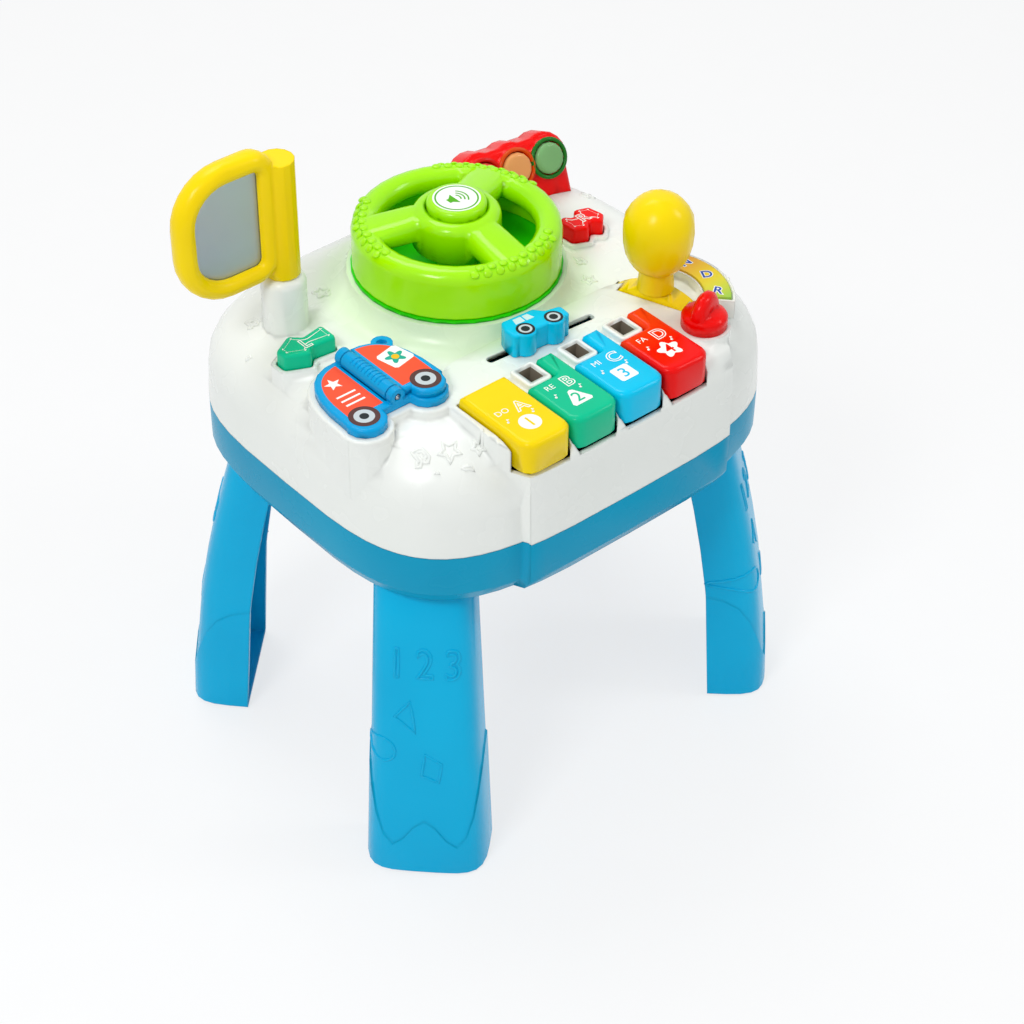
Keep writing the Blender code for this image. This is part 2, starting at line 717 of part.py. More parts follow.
# Signal buttons
LEFT_BUTTON = place(LEFT_BUTTON_SHARES)
RIGHT_BUTTON = (PLINTH_RADIUS + RIGHT_BUTTON_REACH, RIGHT_BUTTON_SHARE * HALF_DEPTH)
BUTTON_FLOOR = DECK_HEIGHT + BUTTON_PLINTH_RISE
COLLAR_BOTTOM = BUTTON_FLOOR - BUTTON_COLLAR


def button_outline(centre, shares, length, depth, grow):
    corners = [(centre[0] + along * length, centre[1] + across * depth) for along, across in shares]
    return rounded(offset(corners, grow), BUTTON_CORNER, 2)


def left_outline(grow):
    return button_outline(LEFT_BUTTON, LEFT_OUTLINE_SHARES, LEFT_BUTTON_LENGTH, LEFT_BUTTON_DEPTH, grow)


def right_outline(grow):
    return button_outline(RIGHT_BUTTON, RIGHT_OUTLINE_SHARES, RIGHT_BUTTON_LENGTH, RIGHT_BUTTON_DEPTH, grow)


# Gear lever, turn knob and mirror: places
LEVER = (KEYS_RIGHT + LEVER_REACH, LEVER_PLACE_SHARE * HALF_DEPTH)
LEVER_AXIS_Z = DECK_HEIGHT - LEVER_AXIS_DROP
LEVER_PIVOT = (LEVER[0], LEVER[1], LEVER_AXIS_Z)
KNOB = (KEYS_RIGHT + KNOB_REACH, KNOB_PLACE_SHARE * HALF_DEPTH)
MIRROR = place(MIRROR_PLACE_SHARES)
MIRROR_POST_TOP = DECK_HEIGHT + MIRROR_POST_HEIGHT


def lever_turn(item):
    """Turns something built with the lever's slot along Y to its true direction."""
    return turn(item, LEVER_PIVOT, LEVER_TURN_DEGREES, "Z")


# Legs
SIDES = ((-1, -1, "front_left"), (1, -1, "front_right"), (-1, 1, "back_left"), (1, 1, "back_right"))


LEG_PLACE = (HALF_WIDTH - LEG_SETBACK_X, HALF_DEPTH - LEG_SETBACK_Y)
LEG_SECTION = [(out, -along, height) for out, along, height in LEG_SECTION_SHARES]
LEG_SECTION += [(out, along, height) for out, along, height in LEG_SECTION_SHARES[-2::-1]]
BOOT_LINE = [height * LEG_BOOT_HEIGHT for out, along, height in LEG_SECTION]


def leg_ring(side, heights, shrink, chord, level=None):
    """A D-shaped section, open towards the table's centre; its points may differ in height."""
    outward = Vector((side[0], side[1])).normalized()
    across = Vector((-outward.y, outward.x))
    points = []
    for index, (out_share, along_share, height_share) in enumerate(LEG_SECTION):
        z = heights[index] if isinstance(heights, list) else heights
        share = (z if level is None else level) / UNDERSIDE_HEIGHT
        half = LEG_FOOT_HALF_WIDTH + (LEG_TOP_HALF_WIDTH - LEG_FOOT_HALF_WIDTH) * share - shrink
        depth = LEG_FOOT_DEPTH + (LEG_TOP_DEPTH - LEG_FOOT_DEPTH) * share - shrink
        lean = share ** LEG_LEAN_POWER
        base = Vector((side[0] * (LEG_PLACE[0] - LEG_LEAN_X * lean), side[1] * (LEG_PLACE[1] - LEG_LEAN_Y * lean)))
        out = chord if out_share == 0.0 else max(out_share * depth, chord)
        point = base + outward * out + across * (along_share * half)
        points.append((point.x, point.y, z))
    return points


def plug_form(name, side, grow, bottom, top):
    """The solid head of a leg, or the room for it, which fits in the tray."""
    shrink = LEG_PLUG_INSET - grow
    return loft(name, [leg_ring(side, z, shrink, shrink, UNDERSIDE_HEIGHT) for z in (bottom, top)])


for side in SIDES:
    leg_top = UNDERSIDE_HEIGHT - GAP
    outer = [leg_ring(side, 0.0, LEG_FOOT_EDGE - LEG_BOOT_STEP, 0.0),
             leg_ring(side, LEG_FOOT_EDGE, -LEG_BOOT_STEP, 0.0),
             leg_ring(side, BOOT_LINE, -LEG_BOOT_STEP, 0.0),
             leg_ring(side, [height + LEG_BOOT_STEP for height in BOOT_LINE], 0.0, 0.0)]
    hollow = [leg_ring(side, LEG_FOOT_PLATE, LEG_WALL, -OVERRUN),
              leg_ring(side, LEG_BOOT_HEIGHT / 2.0, LEG_WALL, -OVERRUN)]
    for share in LEG_HEIGHT_SHARES:
        level = share * UNDERSIDE_HEIGHT
        outer.append(leg_ring(side, level, 0.0, 0.0))
        hollow.append(leg_ring(side, level, LEG_WALL, -OVERRUN))
    outer.append(leg_ring(side, leg_top, 0.0, 0.0))
    hollow.append(leg_ring(side, leg_top - LEG_WALL, LEG_WALL, -OVERRUN))
    leg = loft("leg_" + side[2], outer)
    cut(leg, loft("leg_hollow", hollow))
    add(leg, plug_form("leg_plug", side, 0.0, leg_top - LEG_WALL / 2.0, UNDERSIDE_HEIGHT + LEG_PLUG_HEIGHT))
    finish(leg, LEG_BLUE)


# Tray: a pan with leg sockets, a battery box, a speaker seat and four screw bosses
FLOOR = UNDERSIDE_HEIGHT + WALL
FLOOR_MIDDLE = UNDERSIDE_HEIGHT + WALL / 2.0
BELOW = UNDERSIDE_HEIGHT - OVERRUN
TRAY_INNER = -(WALL + CLEARANCE + LIP_THICKNESS)
BATTERY_CENTRE = (0.0, BATTERY_PLACE_SHARE * HALF_DEPTH)
BOX_LENGTH = BATTERY_LENGTH + BATTERY_NUB_LENGTH + 2.0 * CLEARANCE
BOX_DEPTH = BATTERY_COUNT * 2.0 * BATTERY_RADIUS + (BATTERY_COUNT + 1) * CLEARANCE
COVER_CEILING = UNDERSIDE_HEIGHT + COVER_THICKNESS + GAP
BOX_TOP = COVER_CEILING + 2.0 * BATTERY_RADIUS + 2.0 * GAP
COVER_LENGTH = BOX_LENGTH + 2.0 * COVER_LEDGE
COVER_DEPTH = BOX_DEPTH + COVER_LEDGE + COVER_TONGUE
COVER_CENTRE = (BATTERY_CENTRE[0], BATTERY_CENTRE[1] + (COVER_TONGUE - COVER_LEDGE) / 2.0)
COVER_SCREW = (BATTERY_CENTRE[0], BATTERY_CENTRE[1] + BOX_DEPTH / 2.0 + COVER_TONGUE / 2.0)
PAD_TOP = COVER_CEILING + WALL
SPEAKER = (0.0, SPEAKER_PLACE_SHARE * HALF_DEPTH)
BOSSES = [(side[0] * BOSS_PLACE_SHARES[0] * HALF_WIDTH, side[1] * BOSS_PLACE_SHARES[1] * HALF_DEPTH)
          for side in SIDES]
SCREW_LEVEL = SEAM_HEIGHT - SCREW_SEAT

tray = tray_form("base_tray", 0.0, UNDERSIDE_HEIGHT, SEAM_HEIGHT)
panel = tray_form("tray_panel", PANEL_RISE, UNDERSIDE_HEIGHT, SEAM_HEIGHT)
keep(panel, prism("tray_panel_sides", housing_outline(0.0), BELOW, SEAM_HEIGHT + OVERRUN))
add(tray, panel)
cut(tray, tray_form("tray_hollow", TRAY_INNER, FLOOR, SEAM_HEIGHT + OVERRUN))
lip_bottom = SEAM_HEIGHT - WALL
lip = prism("tray_lip", [point[:2] for point in body_ring(WALL + CLEARANCE, 0.0)],
            lip_bottom, SEAM_HEIGHT + LIP_HEIGHT)
cut(lip, prism("lip_hollow", [point[:2] for point in body_ring(-TRAY_INNER, 0.0)],
               lip_bottom - OVERRUN, SEAM_HEIGHT + LIP_HEIGHT + OVERRUN))
add(tray, lip)
for side in SIDES:
    socket_top = UNDERSIDE_HEIGHT + LEG_PLUG_HEIGHT + CLEARANCE
    add(tray, plug_form("socket", side, CLEARANCE + WALL, FLOOR_MIDDLE, socket_top + WALL))
    cut(tray, plug_form("socket_room", side, CLEARANCE, BELOW, socket_top))
add(tray, prism("battery_box", centred_box(BATTERY_CENTRE, BOX_LENGTH + 2.0 * WALL, BOX_DEPTH + 2.0 * WALL),
                FLOOR_MIDDLE, BOX_TOP + WALL),
    prism("cover_pad", centred_box(COVER_CENTRE, COVER_LENGTH + 4.0 * WALL, COVER_DEPTH + 4.0 * WALL),
          FLOOR_MIDDLE, PAD_TOP))
cut(tray, prism("battery_room", centred_box(BATTERY_CENTRE, BOX_LENGTH, BOX_DEPTH), BELOW, BOX_TOP),
    prism("cover_seat", centred_box(COVER_CENTRE, COVER_LENGTH + 2.0 * CLEARANCE, COVER_DEPTH + 2.0 * CLEARANCE),
          BELOW, COVER_CEILING),
    cylinder("cover_screw_room", SCREW_SHANK_RADIUS + CLEARANCE, BELOW, PAD_TOP + OVERRUN, COVER_SCREW))
fence = cylinder("speaker_fence", SPEAKER_RADIUS + CLEARANCE + WALL, FLOOR_MIDDLE,
                 FLOOR + SPEAKER_FENCE_HEIGHT, SPEAKER, ROUND_STEPS)
cut(fence, cylinder("fence_bore", SPEAKER_RADIUS + CLEARANCE, FLOOR, FLOOR + SPEAKER_FENCE_HEIGHT + OVERRUN,
                    SPEAKER, ROUND_STEPS))
add(tray, fence)
grille = [SPEAKER]
for ring in range(1, GRILLE_RINGS + 1):
    for spot in range(GRILLE_SPOKES * ring):
        angle = math.tau * spot / (GRILLE_SPOKES * ring)
        grille.append((SPEAKER[0] + GRILLE_PITCH * ring * math.cos(angle),
                       SPEAKER[1] + GRILLE_PITCH * ring * math.sin(angle)))
for spot in grille:
    cut(tray, cylinder("grille_hole", GRILLE_HOLE_RADIUS, BELOW, FLOOR + WALL / 2.0, spot, GRILLE_STEPS))
for spot in BOSSES:
    add(tray, cylinder("tray_boss", BOSS_RADIUS, FLOOR_MIDDLE, SEAM_HEIGHT, spot))
    cut(tray, cylinder("screw_recess", SCREW_HEAD_RADIUS + CLEARANCE, BELOW, SCREW_LEVEL, spot),
        cylinder("screw_bore", SCREW_SHANK_RADIUS + CLEARANCE, SCREW_LEVEL - OVERRUN,
                 SEAM_HEIGHT + OVERRUN, spot))
finish(tray, TRAY_BLUE)


def under_shell(post):
    """Trims a post so that it ends inside the deck shell's wall."""
    limit = shell_form("limit", -WALL / 2.0, SEAM_HEIGHT)
    raised = housing_form("limit_housing", -WALL / 2.0, SEAM_HEIGHT)
    keep(raised, prism("limit_sides", housing_outline(-WALL / 2.0), SEAM_HEIGHT - OVERRUN, HOUSING_TOP + OVERRUN))
    add(limit, raised, book_shape("limit_book", BOOK_PLINTH_MARGIN - WALL / 2.0, SHOULDER_HEIGHT,
                                  BOOK_FLOOR - WALL / 2.0, BOOK_EDGE))
    return keep(post, limit)


# Deck shell: the white pillow with its raised panels, hollow from below
shell = shell_form("top_shell", 0.0, SEAM_HEIGHT + GAP)
housing = housing_form("housing", 0.0, SEAM_HEIGHT + GAP)
keep(housing, prism("housing_sides", housing_outline(0.0), SEAM_HEIGHT - OVERRUN, HOUSING_TOP + OVERRUN))
add(shell, housing)
add(shell, revolve("wheel_plinth", plinth_profile(0.0), WHEEL_CENTRE))
add(shell, book_shape("book_plinth", BOOK_PLINTH_MARGIN, SHOULDER_HEIGHT, BOOK_FLOOR, BOOK_EDGE))
add(shell, cylinder("knob_plinth", KNOB_RADIUS + KNOB_MARGIN, SHOULDER_HEIGHT, HOUSING_TOP, KNOB, ROUND_STEPS))
dial_band = arc_band(LEVER, DIAL_INNER_RADIUS - DIAL_MARGIN, DIAL_OUTER_RADIUS + DIAL_MARGIN,
                     DIAL_MIDDLE_DEGREES, DIAL_SPREAD_DEGREES + math.degrees(2.0 * DIAL_MARGIN / DIAL_INNER_RADIUS))
add(shell, prism("dial_plinth", dial_band, DECK_HEIGHT - 2.0 * WALL, HOUSING_TOP))

room = shell_form("shell_room", -WALL, SEAM_HEIGHT - OVERRUN)
housing_room = housing_form("housing_room", -WALL, SEAM_HEIGHT - OVERRUN)
keep(housing_room, prism("housing_room_sides", housing_outline(-WALL), SEAM_HEIGHT - 2.0 * OVERRUN,
                         HOUSING_TOP + OVERRUN))
add(room, housing_room,
    cylinder("plinth_room", PLINTH_RADIUS - WALL, SHOULDER_HEIGHT, PLINTH_TOP - WALL, WHEEL_CENTRE, ROUND_STEPS),
    book_shape("book_room", BOOK_PLINTH_MARGIN - WALL, SHOULDER_HEIGHT - OVERRUN, BOOK_FLOOR - WALL, BOOK_EDGE),
    cylinder("knob_room", KNOB_RADIUS + KNOB_MARGIN - WALL, SHOULDER_HEIGHT, HOUSING_CEILING - GAP, KNOB))
cut(shell, room, cylinder("stub_hole", STUB_RADIUS + CLEARANCE, DECK_HEIGHT, PLINTH_TOP + OVERRUN, WHEEL_CENTRE))

add(shell, prism("left_collar", left_outline(BUTTON_MARGIN), COLLAR_BOTTOM, BUTTON_FLOOR),
    prism("right_collar", right_outline(BUTTON_MARGIN), COLLAR_BOTTOM, BUTTON_FLOOR))
cut(shell, prism("left_hole", left_outline(CLEARANCE), SHOULDER_HEIGHT, BUTTON_FLOOR + OVERRUN),
    prism("right_hole", right_outline(CLEARANCE), SHOULDER_HEIGHT, BUTTON_FLOOR + OVERRUN))

mirror_profile = [(MIRROR_POST_RADIUS, DECK_HEIGHT - WALL / 2.0)]
for step in range(4):
    angle = math.radians(90.0) * step / 3.0
    mirror_profile.append((MIRROR_POST_RADIUS - MIRROR_POST_EDGE * (1.0 - math.cos(angle)),
                           MIRROR_POST_TOP - MIRROR_POST_EDGE * (1.0 - math.sin(angle))))
add(shell, revolve("mirror_post", mirror_profile, MIRROR, SMALL_STEPS))
cut(shell, cylinder("mirror_bore", MIRROR_PIN_RADIUS + CLEARANCE,
                    MIRROR_POST_TOP - MIRROR_PIN_LENGTH - CLEARANCE, MIRROR_POST_TOP + OVERRUN, MIRROR))

for index in range(KEY_COUNT):
    cut(shell, prism("key_well", key_outline(index, KEY_SIDE_GAP + GAP), WELL_BOTTOM, KEY_TOP + OVERRUN))
for index in range(1, KEY_COUNT):
    centre = (key_left(index) + POCKET_SHIFT, KEY_BACK + POCKET_OVERHANG - POCKET_LENGTH / 2.0)
    block = centred_box(centre, POCKET_WIDTH + 2.0 * POCKET_RIM, POCKET_LENGTH + 2.0 * POCKET_RIM)
    inner = centred_box(centre, POCKET_WIDTH + 2.0 * POCKET_RIM - 2.0 * GAP, POCKET_LENGTH + 2.0 * POCKET_RIM - 2.0 * GAP)
    add(shell, prism("pocket_block", inner, HOUSING_TOP - POCKET_DEPTH - WALL, HOUSING_TOP - WALL / 2.0))
    surround = rounded(block, POCKET_CORNER)
    add(shell, pillow("pocket_surround", surround, HOUSING_TOP - WALL, HOUSING_TOP + POCKET_RAISE, POCKET_EDGE))
    cut(shell, prism("pocket", centred_box(centre, POCKET_WIDTH, POCKET_LENGTH),
                     HOUSING_TOP - POCKET_DEPTH, HOUSING_TOP + OVERRUN))
POSTS = (KEYS_LEFT - POST_THICKNESS - CLEARANCE, KEYS_RIGHT + CLEARANCE)
for left in POSTS:
    post = box_outline((left, SHAFT_Y - POST_WIDTH / 2.0), (left + POST_THICKNESS, SHAFT_Y + POST_WIDTH / 2.0))
    add(shell, under_shell(prism("shaft_post", post, SHAFT_Z - EYE_RADIUS, HOUSING_TOP)))
SHAFT_START = POSTS[0] + POST_THICKNESS / 3.0
SHAFT_END = POSTS[1] + POST_THICKNESS - POST_THICKNESS / 3.0
cut(shell, rod("shaft_bore", SHAFT_BORE, (SHAFT_START - GAP, SHAFT_Y, SHAFT_Z),
               (SHAFT_END + GAP, SHAFT_Y, SHAFT_Z)))

BOARD_LEFT = KEYS_LEFT - BOARD_SIDE
BOARD_RIGHT = KEYS_RIGHT + BOARD_SIDE
BOARD_BACK = KEY_BACK - BOARD_SETBACK
BOARD_TOP = KEY_BOTTOM - BOARD_DROP
BOARD_MIDDLE = BOARD_BACK - BOARD_DEPTH / 2.0
for x in (BOARD_LEFT + BOARD_POST_RADIUS, BOARD_RIGHT - BOARD_POST_RADIUS):
    post = cylinder("board_post", BOARD_POST_RADIUS, BOARD_TOP + GAP, HOUSING_TOP, (x, BOARD_MIDDLE))
    add(shell, under_shell(post))

SLOT_CENTRE = place(SLOT_PLACE_SHARES)
SLOT_POINT = (SLOT_CENTRE[0], SLOT_CENTRE[1], HOUSING_TOP)
slot = prism("slot", rounded(centred_box(SLOT_CENTRE, SLOT_LENGTH, SLOT_WIDTH), SLOT_WIDTH / 2.0 - GAP),
             HOUSING_CEILING - OVERRUN, HOUSING_TOP + OVERRUN)
cut(shell, turn(slot, SLOT_POINT, SLOT_TURN_DEGREES, "Z"))

LEVER_ROOM_WIDTH = LEVER_SECTOR_WIDTH + 2.0 * CLEARANCE
LEVER_AXLE_HALF = LEVER_ROOM_WIDTH / 2.0 + LEVER_CHEEK
LEVER_LOW = LEVER_AXIS_Z - LEVER_CHEEK_LENGTH / 2.0
add(shell, lever_turn(prism("lever_cheeks", centred_box(LEVER, 2.0 * LEVER_AXLE_HALF, LEVER_CHEEK_LENGTH),
                            LEVER_LOW, HOUSING_TOP - WALL / 2.0)))
cut(shell, lever_turn(rod("lever_room", LEVER_SECTOR_RADIUS + CLEARANCE,
                          (LEVER[0] - LEVER_ROOM_WIDTH / 2.0, LEVER[1], LEVER_AXIS_Z),
                          (LEVER[0] + LEVER_ROOM_WIDTH / 2.0, LEVER[1], LEVER_AXIS_Z), ROUND_STEPS)))
axle_room = rod("axle_room", LEVER_AXLE_RADIUS + CLEARANCE,
                (LEVER[0] - LEVER_AXLE_HALF - OVERRUN, LEVER[1], LEVER_AXIS_Z),
                (LEVER[0] + LEVER_AXLE_HALF + OVERRUN, LEVER[1], LEVER_AXIS_Z))
cut(shell, lever_turn(axle_room))
dial_seat = arc_band(LEVER, DIAL_INNER_RADIUS - CLEARANCE, DIAL_OUTER_RADIUS + CLEARANCE, DIAL_MIDDLE_DEGREES,
                     DIAL_SPREAD_DEGREES + math.degrees(2.0 * CLEARANCE / DIAL_INNER_RADIUS))
DIAL_FLOOR = HOUSING_TOP + DIAL_RISE - DIAL_THICKNESS
cut(shell, prism("dial_seat", dial_seat, DIAL_FLOOR - GAP, HOUSING_TOP + OVERRUN))

COLLAR_LOW = HOUSING_TOP - KNOB_STEM_LENGTH + KNOB_CLIP_HEIGHT + GAP
add(shell, cylinder("knob_boss", KNOB_STEM_RADIUS + CLEARANCE + WALL, COLLAR_LOW, HOUSING_TOP - WALL / 2.0, KNOB))
cut(shell, cylinder("knob_bore", KNOB_STEM_RADIUS + CLEARANCE, SHOULDER_HEIGHT, HOUSING_TOP + OVERRUN, KNOB))

for spot in BOSSES:
    post = cylinder("shell_boss", BOSS_RADIUS, SEAM_HEIGHT + GAP, HOUSING_TOP, spot)
    add(shell, under_shell(post))
    cut(shell, cylinder("boss_bore", SCREW_SHANK_RADIUS + CLEARANCE, SEAM_HEIGHT - OVERRUN,
                        SCREW_LEVEL + SCREW_SHANK_LENGTH + CLEARANCE, spot))
finish(shell, WHITE)


# Screws that hold the deck shell on the tray
def screw(name, head_radius, head_height, shank_radius, shank_length, seat, centre):
    """A screw put in from below: its shank points up from the seat."""
    item = cylinder(name, head_radius, seat - head_height, seat, centre)
    return add(item, cylinder("shank", shank_radius, seat - head_height / 2.0, seat + shank_length, centre))


for side, spot in zip(SIDES, BOSSES):
    item = screw("body_screw_" + side[2], SCREW_HEAD_RADIUS, SCREW_HEAD_HEIGHT, SCREW_SHANK_RADIUS,
                 SCREW_SHANK_LENGTH, SCREW_LEVEL - GAP, spot)
    finish(item, STEEL)


# Battery cover, its screw and three cells
cover = prism("battery_cover", centred_box(COVER_CENTRE, COVER_LENGTH, COVER_DEPTH),
              UNDERSIDE_HEIGHT, UNDERSIDE_HEIGHT + COVER_THICKNESS)
cut(cover, cylinder("cover_hole", SCREW_SHANK_RADIUS + CLEARANCE, BELOW, PAD_TOP, COVER_SCREW))
finish(cover, TRAY_BLUE)
item = screw("battery_cover_screw", SCREW_HEAD_RADIUS, SCREW_HEAD_HEIGHT, SCREW_SHANK_RADIUS,
             COVER_SHANK_LENGTH, UNDERSIDE_HEIGHT - GAP, COVER_SCREW)
finish(item, STEEL)
for index in range(BATTERY_COUNT):
    y = (BATTERY_CENTRE[1] - BOX_DEPTH / 2.0 + CLEARANCE + BATTERY_RADIUS
         + index * (2.0 * BATTERY_RADIUS + CLEARANCE))
    z = COVER_CEILING + BATTERY_RADIUS
    side = 1.0 if index % 2 == 0 else -1.0
    start = -side * (BATTERY_LENGTH + BATTERY_NUB_LENGTH) / 2.0
    cell = rod("battery_%d" % (index + 1), BATTERY_RADIUS, (start, y, z), (start + side * BATTERY_LENGTH, y, z))
    nub_start = start + side * (BATTERY_LENGTH - OVERRUN)
    add(cell, rod("nub", BATTERY_NUB_RADIUS, (nub_start, y, z),
                  (start + side * (BATTERY_LENGTH + BATTERY_NUB_LENGTH), y, z)))
    finish(cell, BATTERY_GREY)


# Speaker over the grille
SPEAKER_FLOOR = FLOOR + GAP
speaker_profile = [(SPEAKER_RADIUS, SPEAKER_FLOOR), (SPEAKER_RADIUS, SPEAKER_FLOOR + SPEAKER_RIM_HEIGHT),
                   (SPEAKER_MAGNET_RADIUS, SPEAKER_FLOOR + SPEAKER_RIM_HEIGHT * 2.0),
                   (SPEAKER_MAGNET_RADIUS, SPEAKER_FLOOR + SPEAKER_HEIGHT)]
finish(revolve("speaker", speaker_profile, SPEAKER, ROUND_STEPS), BLACK)


# Circuit board under the keys, with a rubber dome for each key
board = prism("circuit_board", box_outline((BOARD_LEFT, BOARD_BACK - BOARD_DEPTH), (BOARD_RIGHT, BOARD_BACK)),
              BOARD_TOP - BOARD_THICKNESS, BOARD_TOP)
for index in range(KEY_COUNT):
    spot = (key_left(index) + KEY_PITCH / 2.0, BOARD_MIDDLE)
    add(board, cylinder("dome", DOME_RADIUS, BOARD_TOP - BOARD_THICKNESS / 2.0, BOARD_TOP + DOME_HEIGHT, spot))
finish(board, BOARD_GREEN)


# Keys on their common shaft
finish(rod("key_shaft", SHAFT_RADIUS, (SHAFT_START, SHAFT_Y, SHAFT_Z), (SHAFT_END, SHAFT_Y, SHAFT_Z)), STEEL)
KEY_COLOURS = (YELLOW, TEAL, SKY, RED)
for index in range(KEY_COUNT):
    key = pillow("key_%d" % (index + 1), key_outline(index, 0.0), KEY_BOTTOM, KEY_TOP, KEY_EDGE)
    arm_right = key_left(index) + KEY_PITCH - KEY_SIDE_GAP - GAP
    arm_left = arm_right - KEY_ARM_WIDTH
    arm = box_outline((arm_left, KEY_BACK - KEY_ARM_OVERLAP), (arm_right, SHAFT_Y))
    add(key, prism("arm", arm, SHAFT_Z - EYE_RADIUS, SHAFT_Z + EYE_RADIUS),
        rod("eye", EYE_RADIUS, (arm_left, SHAFT_Y, SHAFT_Z), (arm_right, SHAFT_Y, SHAFT_Z)))
    cut(key, rod("eye_bore", SHAFT_BORE, (arm_left - OVERRUN, SHAFT_Y, SHAFT_Z),
                 (arm_right + OVERRUN, SHAFT_Y, SHAFT_Z)))
    finish(key, KEY_COLOURS[index], (key_left(index) + KEY_PITCH / 2.0, SHAFT_Y, SHAFT_Z))


# Sliding car in its slot
CAR_CENTRE = (SLOT_CENTRE[0] + CAR_START, SLOT_CENTRE[1])
CAR_BOTTOM = HOUSING_TOP + GAP
STEM_WIDTH = SLOT_WIDTH - 2.0 * CLEARANCE
car_outline = [(CAR_CENTRE[0] + along * CAR_LENGTH, CAR_CENTRE[1] + across * CAR_WIDTH)
               for along, across in CAR_OUTLINE_SHARES]
car = pillow("slider_car", rounded(car_outline, CAR_CORNER), CAR_BOTTOM, CAR_BOTTOM + CAR_HEIGHT, CAR_EDGE)
for share in CAR_WHEEL_SHARES:
    arch = circle(CAR_ARCH_RADIUS, (CAR_CENTRE[0] + share * CAR_LENGTH, CAR_CENTRE[1] - CAR_WIDTH / 4.0))
    add(car, pillow("arch", arch, CAR_BOTTOM + GAP, CAR_BOTTOM + CAR_HEIGHT + GAP, CAR_EDGE))
add(car,
    prism("stem", centred_box(CAR_CENTRE, CAR_STEM_LENGTH, STEM_WIDTH),
          HOUSING_CEILING - GAP - CAR_FOOT_HEIGHT / 2.0, CAR_BOTTOM + CAR_EDGE),
    prism("foot", centred_box(CAR_CENTRE, CAR_STEM_LENGTH, CAR_FOOT_WIDTH),
          HOUSING_CEILING - GAP - CAR_FOOT_HEIGHT, HOUSING_CEILING - GAP))
turn(car, SLOT_POINT, SLOT_TURN_DEGREES, "Z")
slot_turn = math.radians(SLOT_TURN_DEGREES)
finish(car, SKY, (SLOT_CENTRE[0] + CAR_START * math.cos(slot_turn),
                  SLOT_CENTRE[1] + CAR_START * math.sin(slot_turn), HOUSING_TOP))


# Steering wheel on its flange, held by a screw, with the horn in its hub
HUB_TOP = WHEEL_FLOOR + HUB_HEIGHT
SPINDLE_TOP = WHEEL_FLOOR + SPINDLE_HEIGHT
SCREW_TOP = SPINDLE_TOP + GAP + SPINDLE_SCREW_HEAD
HORN_TOP = HUB_TOP + HORN_PROUD
HORN_BOTTOM = HORN_TOP - HORN_THICKNESS
HORN_ROOM_BOTTOM = HORN_BOTTOM - HORN_TRAVEL - GAP
base_profile = [(STUB_RADIUS, PLINTH_TOP + GAP - STUB_LENGTH),
                (STUB_RADIUS, PLINTH_TOP + GAP), (WHEEL_RADIUS + CLEARANCE, PLINTH_TOP + GAP),
                (WHEEL_RADIUS + CLEARANCE, WHEEL_FLOOR), (SPINDLE_RADIUS, WHEEL_FLOOR),
                (SPINDLE_RADIUS, SPINDLE_TOP)]
wheel_base = revolve("wheel_base", base_profile, WHEEL_CENTRE)
cut(wheel_base, cylinder("spindle_bore", SPINDLE_SHANK_RADIUS + CLEARANCE,
                         SPINDLE_TOP - SPINDLE_SHANK_LENGTH - CLEARANCE, SPINDLE_TOP + OVERRUN, WHEEL_CENTRE))
finish(wheel_base, WELL_GREEN)
spindle_screw = cylinder("spindle_screw", SPINDLE_SCREW_RADIUS, SPINDLE_TOP + GAP, SCREW_TOP, WHEEL_CENTRE)
add(spindle_screw, cylinder("spindle_shank", SPINDLE_SHANK_RADIUS, SPINDLE_TOP + GAP - SPINDLE_SHANK_LENGTH,
                            SCREW_TOP - SPINDLE_SCREW_HEAD / 2.0, WHEEL_CENTRE))
finish(spindle_screw, STEEL)

rim_centre = WHEEL_RADIUS - WHEEL_RIM_RADIUS
rim_height = WHEEL_FLOOR + WHEEL_HEIGHT - WHEEL_RIM_RADIUS
skirt_bottom = WHEEL_FLOOR + CLEARANCE
wheel_profile = [(WHEEL_RADIUS, skirt_bottom), (WHEEL_RADIUS - WHEEL_SKIRT, skirt_bottom)]
for step in range(RIM_STEPS + 1):
    angle = math.radians(WHEEL_SKIRT_DEGREES) * (1.0 - step / RIM_STEPS) - math.tau * step / RIM_STEPS
    wheel_profile.append((rim_centre + WHEEL_RIM_RADIUS * math.cos(angle),
                          rim_height + WHEEL_RIM_RADIUS * math.sin(angle)))
wheel = revolve_ring("steering_wheel", wheel_profile, WHEEL_CENTRE)
hub_profile = [(HUB_RADIUS, WHEEL_FLOOR + HUB_BOTTOM),
               (HUB_RADIUS, WHEEL_FLOOR + HUB_SHOULDER_HEIGHT)]
for step in range(1, 4):
    angle = math.radians(90.0) * step / 3.0
    hub_profile.append((HUB_TOP_RADIUS + (HUB_RADIUS - HUB_TOP_RADIUS) * math.cos(angle),
                        WHEEL_FLOOR + HUB_SHOULDER_HEIGHT + (HUB_HEIGHT - HUB_SHOULDER_HEIGHT) * math.sin(angle)))
hub = revolve("hub", hub_profile, WHEEL_CENTRE)
for index in range(SPOKE_COUNT):
    rings = []
    for reach, top in ((SLEEVE_RADIUS, SPOKE_INNER_TOP), (HUB_RADIUS, SPOKE_INNER_TOP),
                       (rim_centre, SPOKE_OUTER_TOP)):
        section = superellipse(SPOKE_WIDTH / 2.0, SPOKE_DEPTH / 2.0, SPOKE_POWER, SMALL_STEPS)
        middle = WHEEL_FLOOR + top - SPOKE_DEPTH / 2.0
        rings.append([(WHEEL_CENTRE[0] + reach, WHEEL_CENTRE[1] + across, middle + rise)
                      for across, rise in section])
    spoke = turn(loft("spoke", rings), (WHEEL_CENTRE[0], WHEEL_CENTRE[1], 0.0),
                 SPOKE_TURN_DEGREES + 360.0 * index / SPOKE_COUNT, "Z")
    add(hub, spoke)
